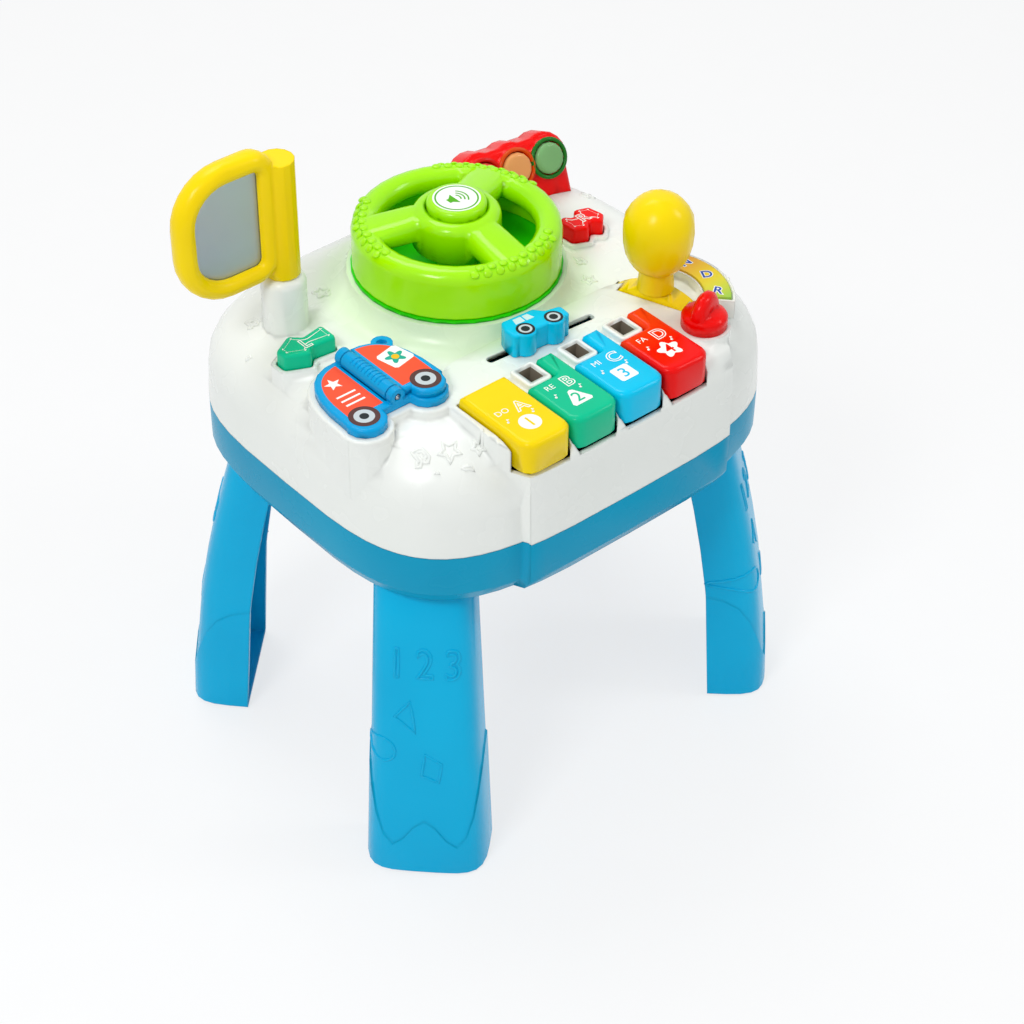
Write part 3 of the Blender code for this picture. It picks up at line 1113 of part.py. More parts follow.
add(hub, cylinder("sleeve", SLEEVE_RADIUS, WHEEL_FLOOR + CLEARANCE, WHEEL_FLOOR + HUB_SHOULDER_HEIGHT, WHEEL_CENTRE,
                  ROUND_STEPS))
add(wheel, hub)
cut(wheel, cylinder("spindle_room", SPINDLE_RADIUS + CLEARANCE, WHEEL_FLOOR - OVERRUN, SPINDLE_TOP, WHEEL_CENTRE),
    cylinder("screw_room", SPINDLE_SCREW_RADIUS + CLEARANCE, SPINDLE_TOP - GAP, HORN_ROOM_BOTTOM + GAP,
             WHEEL_CENTRE),
    cylinder("horn_room", HORN_RADIUS + CLEARANCE, HORN_ROOM_BOTTOM, HUB_TOP + OVERRUN, WHEEL_CENTRE, ROUND_STEPS))
finish(wheel, LIME, (WHEEL_CENTRE[0], WHEEL_CENTRE[1], WHEEL_FLOOR))
finish(pillow("horn_button", circle(HORN_RADIUS, WHEEL_CENTRE, ROUND_STEPS), HORN_BOTTOM, HORN_TOP, HORN_EDGE),
       WHITE, (WHEEL_CENTRE[0], WHEEL_CENTRE[1], HORN_TOP))


# Mirror: a rounded frame on a round arm that turns on the white post
ARM_BOTTOM = MIRROR_POST_TOP + CLEARANCE
MIRROR_MIDDLE = (MIRROR[0] - MIRROR_REACH, MIRROR[1], ARM_BOTTOM + MIRROR_LIFT)


def mirror_outline(grow):
    """The frame's outline seen from the front, in X and Z: a D with its straight side at the arm."""
    across, rise = MIRROR_WIDTH / 2.0 + grow, MIRROR_TALL / 2.0 + grow
    corners = box_outline((-across, -rise), (across, rise))
    free, near = MIRROR_FREE_CORNER + grow, MIRROR_ARM_CORNER + grow
    return rounded(corners, [free, near, near, free], MIRROR_STEPS)


def upright(item):
    """Stands a plan-view solid up, so that its top faces -Y, at the mirror's middle."""
    item.data.transform(Matrix.Translation(MIRROR_MIDDLE) @ Matrix.Rotation(math.radians(90.0), 4, "X"))
    return item


half = MIRROR_THICKNESS / 2.0
frame = upright(pillow("mirror_frame", mirror_outline(0.0), -half, half, MIRROR_EDGE, lower=MIRROR_EDGE))
add(frame, cylinder("mirror_arm", MIRROR_ARM_RADIUS, ARM_BOTTOM, ARM_BOTTOM + MIRROR_ARM_HEIGHT, MIRROR),
    cylinder("mirror_pin", MIRROR_PIN_RADIUS, MIRROR_POST_TOP - MIRROR_PIN_LENGTH, ARM_BOTTOM + OVERRUN, MIRROR))
glass_low = half - MIRROR_LIP - MIRROR_GLASS - 2.0 * GAP
window_rings = [[(x, z, glass_low + GAP) for x, z in mirror_outline(-MIRROR_BORDER)]]
for step in range(4):
    angle = math.radians(90.0) * step / 3.0
    window_grow = MIRROR_HOLLOW * (1.0 - math.cos(angle)) - MIRROR_BORDER
    height = half - MIRROR_HOLLOW * (1.0 - math.sin(angle))
    window_rings.append([(x, z, height) for x, z in mirror_outline(window_grow)])
window_rings.append([(x, z, half + OVERRUN) for x, z in mirror_outline(MIRROR_HOLLOW - MIRROR_BORDER)])
cut(frame, upright(prism("glass_room", mirror_outline(MIRROR_CATCH - MIRROR_BORDER), glass_low, half - MIRROR_LIP)),
    upright(loft("mirror_window", window_rings)))
finish(frame, YELLOW, (MIRROR[0], MIRROR[1], ARM_BOTTOM))
glass = upright(prism("mirror_glass", mirror_outline(MIRROR_CATCH - MIRROR_BORDER - GAP), glass_low + GAP,
                      glass_low + GAP + MIRROR_GLASS))
finish(glass, MIRROR_FILM, (MIRROR[0], MIRROR[1], ARM_BOTTOM))


# Traffic light: a plate that leans back, with three hooded lenses
LIGHT_BASE = (PLINTH_RADIUS + LIGHT_REACH, LIGHT_PLACE_SHARE * HALF_DEPTH)
LIGHT_MIDDLE = (LIGHT_BASE[0], LIGHT_BASE[1], DECK_HEIGHT + LIGHT_LENS_HEIGHT)


def light_pose(item):
    """Takes a plate built flat, with its face up, to its leaning place on the deck."""
    pose = Matrix.Translation(LIGHT_MIDDLE) @ Matrix.Rotation(math.radians(LIGHT_YAW_DEGREES), 4, "Z")
    item.data.transform(pose @ Matrix.Rotation(math.radians(90.0 - LIGHT_LEAN_DEGREES), 4, "X"))
    return item


plate = box_outline((-LIGHT_LENGTH / 2.0, -LIGHT_BELOW), (LIGHT_LENGTH / 2.0, LIGHT_ABOVE))
light = pillow("traffic_light", rounded(plate, [0.0, 0.0, LIGHT_CORNER, LIGHT_CORNER], 4),
               -LIGHT_THICKNESS, 0.0, LIGHT_EDGE)
LENS_SPOTS = [((index - (LIGHT_COUNT - 1) / 2.0) * LIGHT_PITCH, 0.0) for index in range(LIGHT_COUNT)]
for spot in LENS_SPOTS:
    add(light, pillow("brow", circle(LIGHT_BROW, spot, ROUND_STEPS // 2), LIGHT_BROW_STEP - LIGHT_THICKNESS,
                      -LIGHT_BROW_STEP, LIGHT_EDGE))
for spot in LENS_SPOTS:
    add(light, cylinder("hood", LENS_RADIUS + CLEARANCE + LENS_HOOD, -LIGHT_THICKNESS / 2.0, LENS_HOOD_DEPTH, spot,
                        SMALL_STEPS))
for spot in LENS_SPOTS:
    cut(light, cylinder("lens_seat", LENS_RADIUS + CLEARANCE, LENS_HOOD_DEPTH - LENS_SEAT_DEPTH - GAP,
                        LENS_HOOD_DEPTH + OVERRUN, spot, SMALL_STEPS))
light_pose(light)
cut(light, shell_form("deck_limit", GAP, SEAM_HEIGHT), revolve("plinth_limit", plinth_profile(GAP), WHEEL_CENTRE),
    cylinder("wheel_limit", WHEEL_RADIUS + 2.0 * CLEARANCE, DECK_HEIGHT, HORN_TOP, WHEEL_CENTRE, ROUND_STEPS))
finish(light, RED)
LENS_BOTTOM = LENS_HOOD_DEPTH - LENS_SEAT_DEPTH
for spot, name, material in zip(LENS_SPOTS, ("lens_red", "lens_amber", "lens_green"),
                                (LENS_RED, LENS_AMBER, LENS_GREEN)):
    lens = pillow(name, circle(LENS_RADIUS, spot, SMALL_STEPS), LENS_BOTTOM, LENS_HOOD_DEPTH + LENS_DOME, LENS_DOME)
    finish(light_pose(lens), material)


# Flip book: a base with a page hinged along its spine
PIN_START = BOOK_LOW
PIN_END = BOOK_CENTRE[1] + BOOK_DEPTH / 2.0 - BOOK_EDGE
BARREL_START = PIN_START + BOOK_LUG + CLEARANCE
BARREL_END = PIN_END - BOOK_LUG - CLEARANCE


def spine(name, radius, start, end):
    return rod(name, radius, (BOOK_CENTRE[0], start, BOOK_AXIS_Z), (BOOK_CENTRE[0], end, BOOK_AXIS_Z))


book = book_shape("book_base", 0.0, BOOK_FLOOR + GAP, BOOK_BASE_TOP, BOOK_EDGE)
cut(book, spine("spine_groove", BOOK_SPINE_RADIUS + CLEARANCE, BARREL_START - CLEARANCE, BARREL_END + CLEARANCE))
add(book, spine("front_lug", BOOK_SPINE_RADIUS, PIN_START, PIN_START + BOOK_LUG),
    spine("back_lug", BOOK_SPINE_RADIUS, PIN_END - BOOK_LUG, PIN_END))
cut(book, spine("pin_room", BOOK_PIN_RADIUS + CLEARANCE, PIN_START - OVERRUN, PIN_END + OVERRUN))
finish(book, BOOK_BLUE)
finish(spine("book_pin", BOOK_PIN_RADIUS, PIN_START, PIN_END), STEEL)
page = book_shape("book_page", -BOOK_PAGE_INSET, BOOK_BASE_TOP + GAP, BOOK_PAGE_TOP, BOOK_EDGE)
page_left = BOOK_CENTRE[0]
page_right = BOOK_CENTRE[0] + BOOK_LENGTH
page_limit = box_outline((page_left, BOOK_LOW - BOOK_DEPTH), (page_right, BOOK_LOW + 2.0 * BOOK_DEPTH))
keep(page, prism("page_limit", page_limit, BOOK_FLOOR, BOOK_PAGE_TOP + OVERRUN))
for start, end in ((PIN_START - BOOK_DEPTH, BARREL_START), (BARREL_END, PIN_END + BOOK_DEPTH)):
    cut(page, spine("lug_room", BOOK_SPINE_RADIUS + CLEARANCE, start, end))
tab_centre = (BOOK_CENTRE[0] + BOOK_TAB_SHARES[0] * BOOK_LENGTH, BOOK_LOW + BOOK_TAB_SHARES[1] * BOOK_DEPTH)
add(page, cylinder("tab", BOOK_TAB_RADIUS, BOOK_BASE_TOP + GAP, BOOK_PAGE_TOP - BOOK_EDGE, tab_centre),
    spine("barrel", BOOK_SPINE_RADIUS, BARREL_START, BARREL_END))
cut(page, cylinder("tab_hole", BOOK_TAB_HOLE, BOOK_FLOOR, BOOK_PAGE_TOP + OVERRUN, tab_centre),
    spine("barrel_bore", BOOK_PIN_RADIUS + CLEARANCE, BARREL_START - OVERRUN, BARREL_END + OVERRUN))
finish(page, BOOK_BLUE, (BOOK_CENTRE[0], BOOK_CENTRE[1], BOOK_AXIS_Z))


# Signal buttons: each slides in its collar and is stopped by a flange under it
for name, outline, centre, material in (("button_left", left_outline, LEFT_BUTTON, TEAL),
                                        ("button_right", right_outline, RIGHT_BUTTON, RED)):
    flange_top = COLLAR_BOTTOM - GAP
    button = pillow(name, outline(0.0), flange_top - BUTTON_FLANGE_THICKNESS, BUTTON_FLOOR + BUTTON_PROUD, BUTTON_EDGE)
    add(button, prism("flange", outline(BUTTON_FLANGE), flange_top - BUTTON_FLANGE_THICKNESS, flange_top))
    finish(button, material, (centre[0], centre[1], BUTTON_FLOOR))


# Gear lever: an egg knob on a waisted stem, on a sector that turns on an axle
SECTOR_TOP = LEVER_AXIS_Z + LEVER_SECTOR_RADIUS
lever_profile = [(LEVER_SECTOR_WIDTH / 2.0 - GAP, SECTOR_TOP - LEVER_CHEEK),
                 (LEVER_SECTOR_WIDTH / 2.0 - GAP, SECTOR_TOP),
                 (LEVER_FOOT_RADIUS, SECTOR_TOP + LEVER_FOOT_RISE), (LEVER_WAIST_RADIUS, HOUSING_TOP + LEVER_STEM_HEIGHT)]
for step in range(1, 10):
    angle = math.radians(180.0) * step / 10.0 - math.radians(90.0)
    low = step < 5
    half_height = LEVER_KNOB_MIDDLE - LEVER_STEM_HEIGHT if low else LEVER_TOP - LEVER_KNOB_MIDDLE
    foot_radius = LEVER_WAIST_RADIUS if low else 0.0
    reach = foot_radius + (LEVER_KNOB_RADIUS - foot_radius) * math.cos(angle)
    lever_profile.append((reach, HOUSING_TOP + LEVER_KNOB_MIDDLE + half_height * math.sin(angle)))
sector = [(LEVER_PIVOT[1], LEVER_PIVOT[2])]
for step in range(DIAL_STEPS + 1):
    angle = math.radians(90.0 + LEVER_SECTOR_DEGREES * (step / DIAL_STEPS - 0.5))
    sector.append((LEVER_PIVOT[1] + LEVER_SECTOR_RADIUS * math.cos(angle),
                   LEVER_PIVOT[2] + LEVER_SECTOR_RADIUS * math.sin(angle)))
sector_rings = [[(LEVER[0] + sign * LEVER_SECTOR_WIDTH / 2.0, y, z) for y, z in sector] for sign in (-1, 1)]
lever = loft("gear_lever", sector_rings)
pivot_half = LEVER_SECTOR_WIDTH / 2.0
add(lever, rod("pivot", LEVER_CHEEK_LENGTH / 2.0, (LEVER[0] - pivot_half, LEVER[1], LEVER_AXIS_Z),
               (LEVER[0] + pivot_half, LEVER[1], LEVER_AXIS_Z)),
    rod("axle", LEVER_AXLE_RADIUS, (LEVER[0] - LEVER_AXLE_HALF, LEVER[1], LEVER_AXIS_Z),
        (LEVER[0] + LEVER_AXLE_HALF, LEVER[1], LEVER_AXIS_Z)),
    revolve("stem", lever_profile, LEVER, SMALL_STEPS))
finish(lever_turn(lever), YELLOW, LEVER_PIVOT)
dial = prism("gear_dial", arc_band(LEVER, DIAL_INNER_RADIUS, DIAL_OUTER_RADIUS, DIAL_MIDDLE_DEGREES,
                                   DIAL_SPREAD_DEGREES), DIAL_FLOOR, HOUSING_TOP + DIAL_RISE)
finish(dial, DIAL_YELLOW)


# Turn knob: a dome with an upright fin, clipped in its bore
KNOB_BOTTOM = HOUSING_TOP + GAP
STEM_BOTTOM = HOUSING_TOP - KNOB_STEM_LENGTH
knob_profile = [(KNOB_RADIUS, KNOB_BOTTOM), (KNOB_RADIUS, KNOB_BOTTOM + KNOB_SKIRT_HEIGHT)]
for step in range(1, 4):
    angle = math.radians(90.0) * step / 4.0
    knob_profile.append((KNOB_RADIUS * math.cos(angle), KNOB_BOTTOM + KNOB_SKIRT_HEIGHT
                         + (KNOB_DOME_HEIGHT - KNOB_SKIRT_HEIGHT) * math.sin(angle)))
knob = revolve("turn_knob", knob_profile, KNOB)
fin_half = KNOB_FIN_WIDTH / 2.0
fin_profile = [(KNOB_FIN_RADIUS - KNOB_FIN_EDGE, -fin_half), (KNOB_FIN_RADIUS, KNOB_FIN_EDGE - fin_half),
               (KNOB_FIN_RADIUS, fin_half - KNOB_FIN_EDGE), (KNOB_FIN_RADIUS - KNOB_FIN_EDGE, fin_half)]
fin = revolve("fin", fin_profile)
fin.data.transform(Matrix.Translation((KNOB[0], KNOB[1], KNOB_BOTTOM + KNOB_HEIGHT - KNOB_FIN_RADIUS))
                   @ Matrix.Rotation(math.radians(90.0), 4, "X"))
keep(fin, cylinder("fin_limit", KNOB_RADIUS, KNOB_BOTTOM + CLEARANCE, KNOB_BOTTOM + KNOB_HEIGHT + OVERRUN, KNOB,
                   ROUND_STEPS))
add(knob, turn(fin, (KNOB[0], KNOB[1], 0.0), KNOB_FIN_TURN_DEGREES, "Z"),
    cylinder("knob_stem", KNOB_STEM_RADIUS, STEM_BOTTOM, KNOB_BOTTOM + CLEARANCE, KNOB),
    cylinder("knob_clip", KNOB_STEM_RADIUS + CLEARANCE + KNOB_CLIP, STEM_BOTTOM, STEM_BOTTOM + KNOB_CLIP_HEIGHT, KNOB))
finish(knob, RED, (KNOB[0], KNOB[1], KNOB_BOTTOM))


# The part's origin lies on the floor, under the middle of the whole box
bpy.context.view_layer.update()
pieces = [item for item in bpy.data.objects if item.type == "MESH"]
reach = [(item.matrix_world @ Vector(corner)).x for item in pieces for corner in item.bound_box]
for item in pieces:
    item.location.x -= (min(reach) + max(reach)) / 2.0
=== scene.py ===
import json
import math

import bmesh
import bpy
from mathutils import Matrix, Vector
from mathutils.bvhtree import BVHTree

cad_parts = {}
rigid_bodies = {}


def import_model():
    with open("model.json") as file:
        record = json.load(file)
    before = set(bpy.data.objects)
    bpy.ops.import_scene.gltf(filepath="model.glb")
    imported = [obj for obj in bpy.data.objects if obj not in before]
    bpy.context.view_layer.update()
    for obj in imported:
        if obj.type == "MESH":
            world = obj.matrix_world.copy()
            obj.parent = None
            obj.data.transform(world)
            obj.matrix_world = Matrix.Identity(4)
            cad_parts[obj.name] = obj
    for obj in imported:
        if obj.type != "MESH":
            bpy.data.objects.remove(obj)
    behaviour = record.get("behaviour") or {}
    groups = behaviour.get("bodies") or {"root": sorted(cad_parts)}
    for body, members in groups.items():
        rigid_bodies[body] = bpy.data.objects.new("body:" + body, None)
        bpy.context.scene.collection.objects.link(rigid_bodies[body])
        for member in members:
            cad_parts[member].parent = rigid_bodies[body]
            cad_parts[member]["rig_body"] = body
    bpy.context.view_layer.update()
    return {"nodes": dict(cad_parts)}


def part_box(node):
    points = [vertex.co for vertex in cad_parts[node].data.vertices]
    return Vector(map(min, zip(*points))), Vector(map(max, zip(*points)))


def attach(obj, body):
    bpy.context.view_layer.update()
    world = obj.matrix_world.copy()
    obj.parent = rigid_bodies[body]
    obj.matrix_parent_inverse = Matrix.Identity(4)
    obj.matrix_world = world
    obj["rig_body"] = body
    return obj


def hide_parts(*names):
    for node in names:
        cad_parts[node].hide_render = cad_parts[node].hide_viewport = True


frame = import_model()
scene = bpy.context.scene
scene.view_settings.view_transform = "Standard"


# Studio: a pale floor that runs on as the backdrop, a white room and three soft boxes.
# The floor is bright to the camera, so that it reads as white paper and still takes a soft shadow.
# The camera stands at the front left corner, looking down on the deck.
FLOOR_RADIUS = 4.0
FLOOR_DROP = 0.0004
FLOOR_GRAIN = 1.0 / 0.025
FLOOR_GLOW = 0.72
ROOM_FILL = 0.56
CAMERA_AZIMUTH, CAMERA_ELEVATION, CAMERA_ROLL = -41.1, 40.3, 0.8
CAMERA_AIM = (0.0123, -0.0069, 0.100)
CAMERA_DISTANCE = 1.1593
CAMERA_FOCAL_PIXELS = 2348.3
PICTURE_PIXELS = 1024.0
SENSOR_WIDTH = 36.0


def ink(code):
    """An sRGB hex colour as linear light."""
    parts = [int(code[start:start + 2], 16) / 255.0 for start in (0, 2, 4)]
    return [part / 12.92 if part <= 0.04045 else ((part + 0.055) / 1.055) ** 2.4 for part in parts] + [1.0]


def node(tree, kind, settings=None, links=None, **options):
    """Adds a node with its settings and links."""
    item = tree.nodes.new(kind)
    for name, value in options.items():
        setattr(item, name, value)
    for socket, value in (settings or {}).items():
        item.inputs[socket].default_value = value
    for socket, source in (links or {}).items():
        tree.links.new(source, item.inputs[socket])
    return item


paper = bpy.data.materials.new("backdrop_paper")
paper.use_nodes = True
tree = paper.node_tree
tree.nodes.clear()
grain = node(tree, "ShaderNodeTexNoise", {"Scale": FLOOR_GRAIN, "Detail": 3.0},
             {"Vector": node(tree, "ShaderNodeTexCoord").outputs["Object"]})
tone = node(tree, "ShaderNodeValToRGB", links={"Fac": grain.outputs["Fac"]})
tone.color_ramp.elements[0].color = ink("f2f2f2")
tone.color_ramp.elements[1].color = ink("f6f6f6")
sheet = node(tree, "ShaderNodeBsdfDiffuse", links={"Color": tone.outputs["Color"]})
glow = node(tree, "ShaderNodeEmission", {"Color": ink("ffffff"), "Strength": 1.0})


def seen_rays(tree):
    """One for the camera's own rays and for those it sends by gloss or through glass, else zero."""
    rays = node(tree, "ShaderNodeLightPath").outputs
    first = node(tree, "ShaderNodeMath", links={0: rays["Is Camera Ray"], 1: rays["Is Glossy Ray"]},
                 operation="MAXIMUM")
    both = node(tree, "ShaderNodeMath", links={0: first.outputs[0], 1: rays["Is Transmission Ray"]},
                operation="MAXIMUM")
    return both.outputs[0]


share = node(tree, "ShaderNodeMath", {1: FLOOR_GLOW}, {0: seen_rays(tree)}, operation="MULTIPLY")
both = node(tree, "ShaderNodeMixShader", links={0: share.outputs[0], 1: sheet.outputs[0], 2: glow.outputs[0]})
node(tree, "ShaderNodeOutputMaterial", links={"Surface": both.outputs[0]})

shape = bmesh.new()
bmesh.ops.create_circle(shape, cap_ends=True, segments=96, radius=FLOOR_RADIUS)
floor_mesh = bpy.data.meshes.new("floor")
shape.to_mesh(floor_mesh)
shape.free()
floor = bpy.data.objects.new("floor", floor_mesh)
scene.collection.objects.link(floor)
floor.location.z = -FLOOR_DROP
floor.data.materials.append(paper)

world = bpy.data.worlds.new("white_room")
world.use_nodes = True
scene.world = world
tree = world.node_tree
tree.nodes.clear()
fill = node(tree, "ShaderNodeBackground", {"Color": ink("f4f7fa"), "Strength": ROOM_FILL})
white = node(tree, "ShaderNodeBackground", {"Color": ink("ffffff"), "Strength": 1.0})
room = node(tree, "ShaderNodeMixShader", links={0: seen_rays(tree), 1: fill.outputs[0], 2: white.outputs[0]})
node(tree, "ShaderNodeOutputWorld", links={"Surface": room.outputs[0]})

for name, place, aim, size, power in (
        ("soft_box_left", (-0.95, -0.35, 1.25), (0.0, 0.0, 0.20), 0.36, 7.9),
        ("soft_box_right", (0.85, -0.75, 1.05), (0.0, 0.0, 0.18), 0.34, 3.0),
        ("soft_box_top", (0.10, 0.55, 1.45), (0.0, 0.0, 0.22), 0.60, 5.8)):
    lamp = bpy.data.lights.new(name, "AREA")
    lamp.shape = "SQUARE"
    lamp.size = size
    lamp.energy = power
    item = bpy.data.objects.new(name, lamp)
    item.matrix_world = (Matrix.Translation(place)
                         @ (Vector(aim) - Vector(place)).to_track_quat("-Z", "Y").to_matrix().to_4x4())
    scene.collection.objects.link(item)

low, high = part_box("base_tray")
middle_x = (low.x + high.x) / 2.0
azimuth, elevation, roll = map(math.radians, (CAMERA_AZIMUTH, CAMERA_ELEVATION, CAMERA_ROLL))
back = Vector((math.sin(azimuth) * math.cos(elevation), -math.cos(azimuth) * math.cos(elevation),
               math.sin(elevation)))
right = Vector((math.cos(azimuth), math.sin(azimuth), 0.0))
up = back.cross(right)
across = math.cos(roll) * right + math.sin(roll) * up
above = math.cos(roll) * up - math.sin(roll) * right
eye = Vector((middle_x, 0.0, 0.0)) + Vector(CAMERA_AIM) + back * CAMERA_DISTANCE
camera_data = bpy.data.cameras.new("camera")
camera_data.sensor_width = SENSOR_WIDTH
camera_data.lens = CAMERA_FOCAL_PIXELS / PICTURE_PIXELS * SENSOR_WIDTH
camera = bpy.data.objects.new("camera", camera_data)
camera.matrix_world = Matrix(((across.x, above.x, back.x, eye.x), (across.y, above.y, back.y, eye.y),
                              (across.z, above.z, back.z, eye.z), (0.0, 0.0, 0.0, 1.0)))
scene.collection.objects.link(camera)
scene.camera = camera


# Deck shell: the white ABS moulding, glossy from a polished mould, with faint relief figures.
# The gloss wavers a little, and the surface has the shallow ripple of a cooled moulding.
# Round the wheel's plinth, a pale green painted reflection of the lime wheel is mixed into the white.
FLOW_SIZE, MIST_SIZE, PEEL_SIZE = 0.055, 0.018, 0.0040
PEEL_HEIGHT = 0.0004
SOFT_DEPTH = 0.004
WELD = 0.000002
FOLD_DEPTH = 0.0004
SHARP_ANGLE = 30.0
WHEEL_X, WHEEL_Y, WHEEL_FOOT_Z = 0.0, 19.9, 236.0
PAINTED_GLOW_INNER, PAINTED_GLOW_OUTER, PAINTED_GLOW_SHARE = 0.054, 0.070, 0.42


def moulded(name, body, shade, roughness=0.24, ripple=0.003, soft=0.0, sheen=0.16, rounding=0.0010):
    """Polished injection-moulded plastic: two close tones, a wavering gloss and a shallow ripple."""
    material = bpy.data.materials.new(name)
    material.use_nodes = True
    tree = material.node_tree
    shader = tree.nodes["Principled BSDF"]
    place = node(tree, "ShaderNodeTexCoord")
    flow = node(tree, "ShaderNodeTexNoise", {"Scale": 1.0 / FLOW_SIZE, "Detail": 2.0},
                {"Vector": place.outputs["Object"]})
    tones = node(tree, "ShaderNodeValToRGB", links={"Fac": flow.outputs["Fac"]})
    tones.color_ramp.elements[0].position = 0.30
    tones.color_ramp.elements[0].color = ink(shade)
    tones.color_ramp.elements[1].position = 0.70
    tones.color_ramp.elements[1].color = ink(body)
    tree.links.new(tones.outputs["Color"], shader.inputs["Base Color"])
    mist = node(tree, "ShaderNodeTexNoise", {"Scale": 1.0 / MIST_SIZE, "Detail": 2.0},
                {"Vector": place.outputs["Object"]})
    gloss = node(tree, "ShaderNodeMapRange", {"To Min": roughness * 0.85, "To Max": roughness * 1.2},
                 {"Value": mist.outputs["Fac"]})
    tree.links.new(gloss.outputs["Result"], shader.inputs["Roughness"])
    peel = node(tree, "ShaderNodeTexNoise", {"Scale": 1.0 / PEEL_SIZE, "Detail": 0.0},
                {"Vector": place.outputs["Object"]})
    edge = node(tree, "ShaderNodeBevel", {"Radius": rounding}, samples=6)
    bump = node(tree, "ShaderNodeBump", {"Strength": ripple * 4.0, "Distance": PEEL_HEIGHT},
                {"Height": peel.outputs["Fac"], "Normal": edge.outputs["Normal"]})
    tree.links.new(bump.outputs["Normal"], shader.inputs["Normal"])
    shader.inputs["IOR"].default_value = 1.50
    shader.inputs["Specular IOR Level"].default_value = sheen
    if soft:
        shader.inputs["Subsurface Weight"].default_value = soft
        shader.inputs["Subsurface Scale"].default_value = SOFT_DEPTH
        shader.inputs["Subsurface Radius"].default_value = (1.0, 1.0, 1.0)
    return material


def piece(name, mesh, material, body):
    """An object made of one mesh and one material, on a body."""
    mesh.name = name
    mesh.materials.clear()
    mesh.materials.append(material)
    item = bpy.data.objects.new(name, mesh)
    scene.collection.objects.link(item)
    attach(item, body)
    return item


def finished(shape):
    """A mesh made from an edit mesh, which is freed."""
    mesh = bpy.data.meshes.new("shape")
    shape.to_mesh(mesh)
    shape.free()
    return mesh


def skin(cad_node, material):
    """A merged, smoothly shaded copy of a CAD piece, which stands for it.

    A key's top has a few folded faces beside its notch, and the copy leaves those out.
    """
    source = frame["nodes"][cad_node]
    mesh = source.data.copy()
    shape = bmesh.new()
    shape.from_mesh(mesh)
    bmesh.ops.remove_doubles(shape, verts=shape.verts, dist=WELD)
    if cad_node.startswith("key_"):
        top = max(point.co.z for point in shape.verts)
        folded = [face for face in shape.faces
                  if face.normal.z < -0.95 and face.calc_center_median().z > top - FOLD_DEPTH]
        bmesh.ops.delete(shape, geom=folded, context="FACES")
    shape.to_mesh(mesh)
    shape.free()
    mesh.shade_smooth()
    mesh.set_sharp_from_angle(angle=math.radians(SHARP_ANGLE))
    item = piece(cad_node + "_skin", mesh, material, source["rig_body"])
    even = item.modifiers.new("even_shading", "WEIGHTED_NORMAL")
    even.keep_sharp = True
    even.weight = 90
    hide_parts(cad_node)


def at(x, y, z=0.0):
    """A place given in millimetres from the middle of the tray."""
    return Vector((middle_x + x / 1000.0, y / 1000.0, z / 1000.0))


def tinted(material, shade, amount):
    """Mixes a second shade into a plastic's own tones."""
    tree = material.node_tree
    shader = tree.nodes["Principled BSDF"]
    tones = shader.inputs["Base Color"].links[0].from_socket
    cast = node(tree, "ShaderNodeMix", {7: ink(shade)}, {0: amount, 6: tones}, data_type="RGBA")
    tree.links.new(cast.outputs[2], shader.inputs["Base Color"])


white_abs = moulded("white_abs_polished", "eff1ec", "ebeee8", 0.26, soft=0.04, sheen=0.30)
tree = white_abs.node_tree
# Painted reflection: pale green mixed into the white near the wheel's foot, fading outwards, in place of the
# lime wheel's bounced light.
place = node(tree, "ShaderNodeTexCoord")
reach = node(tree, "ShaderNodeVectorMath", {1: tuple(at(WHEEL_X, WHEEL_Y, WHEEL_FOOT_Z))},
             {0: place.outputs["Object"]}, operation="DISTANCE")
near = node(tree, "ShaderNodeMapRange",
            {"From Min": PAINTED_GLOW_INNER, "From Max": PAINTED_GLOW_OUTER, "To Min": PAINTED_GLOW_SHARE, "To Max": 0.0},
            {"Value": reach.outputs["Value"]}, interpolation_type="SMOOTHSTEP")
tinted(white_abs, "c8f0a0", near.outputs["Result"])
skin("top_shell", white_abs)


# Relief figures on the deck: raised beads of the same white plastic, laid on the curved surface.
# Each is a closed line of points in the plan, dropped onto the deck from above.
DECK_BEAD = 0.00085
DECK_BEAD_SINK = 0.00018
DROP_FROM = 300.0
LEVEL_ENOUGH = 0.80


def turned_to_mesh(curve):
    """The mesh of a curve or of lettering."""
    holder = bpy.data.objects.new("curve_line", curve)
    scene.collection.objects.link(holder)
    bpy.context.view_layer.update()
    mesh = bpy.data.meshes.new_from_object(holder.evaluated_get(bpy.context.evaluated_depsgraph_get()))
    bpy.data.objects.remove(holder)
    return mesh


def bead(name, body, material, lines, radius, closed=True):
    """Round beads of plastic along lines of points."""
    curve = bpy.data.curves.new(name, "CURVE")
    curve.dimensions = "3D"
    curve.bevel_depth = radius
    curve.bevel_resolution = 2
    for line in lines:
        spline = curve.splines.new("POLY")
        spline.points.add(len(line) - 1)
        for point, spot in zip(spline.points, line):
            point.co = (*spot, 1.0)
        spline.use_cyclic_u = closed
    mesh = turned_to_mesh(curve)
    mesh.shade_smooth()
    piece(name, mesh, material, body)


def surface(cad_node):
    """A piece's faces, to drop points onto."""
    mesh = frame["nodes"][cad_node].data
    return BVHTree.FromPolygons([point.co for point in mesh.vertices],
                                [face.vertices for face in mesh.polygons])


def star(points, outer, inner):
    """The outline of a star, one point up."""
    line = []
    for step in range(points * 2):
        angle = math.pi * step / points + math.pi / 2.0
        radius = outer if step % 2 == 0 else inner
        line.append((radius * math.cos(angle), radius * math.sin(angle)))
    return line


def round_line(radius, steps=24, middle=(0.0, 0.0)):
    """The outline of a circle."""
    return [(middle[0] + radius * math.cos(math.tau * step / steps),
             middle[1] + radius * math.sin(math.tau * step / steps)) for step in range(steps)]


def flower(radius, wave, steps):
    """The outline of five petals."""
    line = []
    for step in range(steps):
        angle = math.tau * step / steps
        reach = radius + wave * math.cos(5.0 * angle)
        line.append((reach * math.cos(angle), reach * math.sin(angle)))
    return line


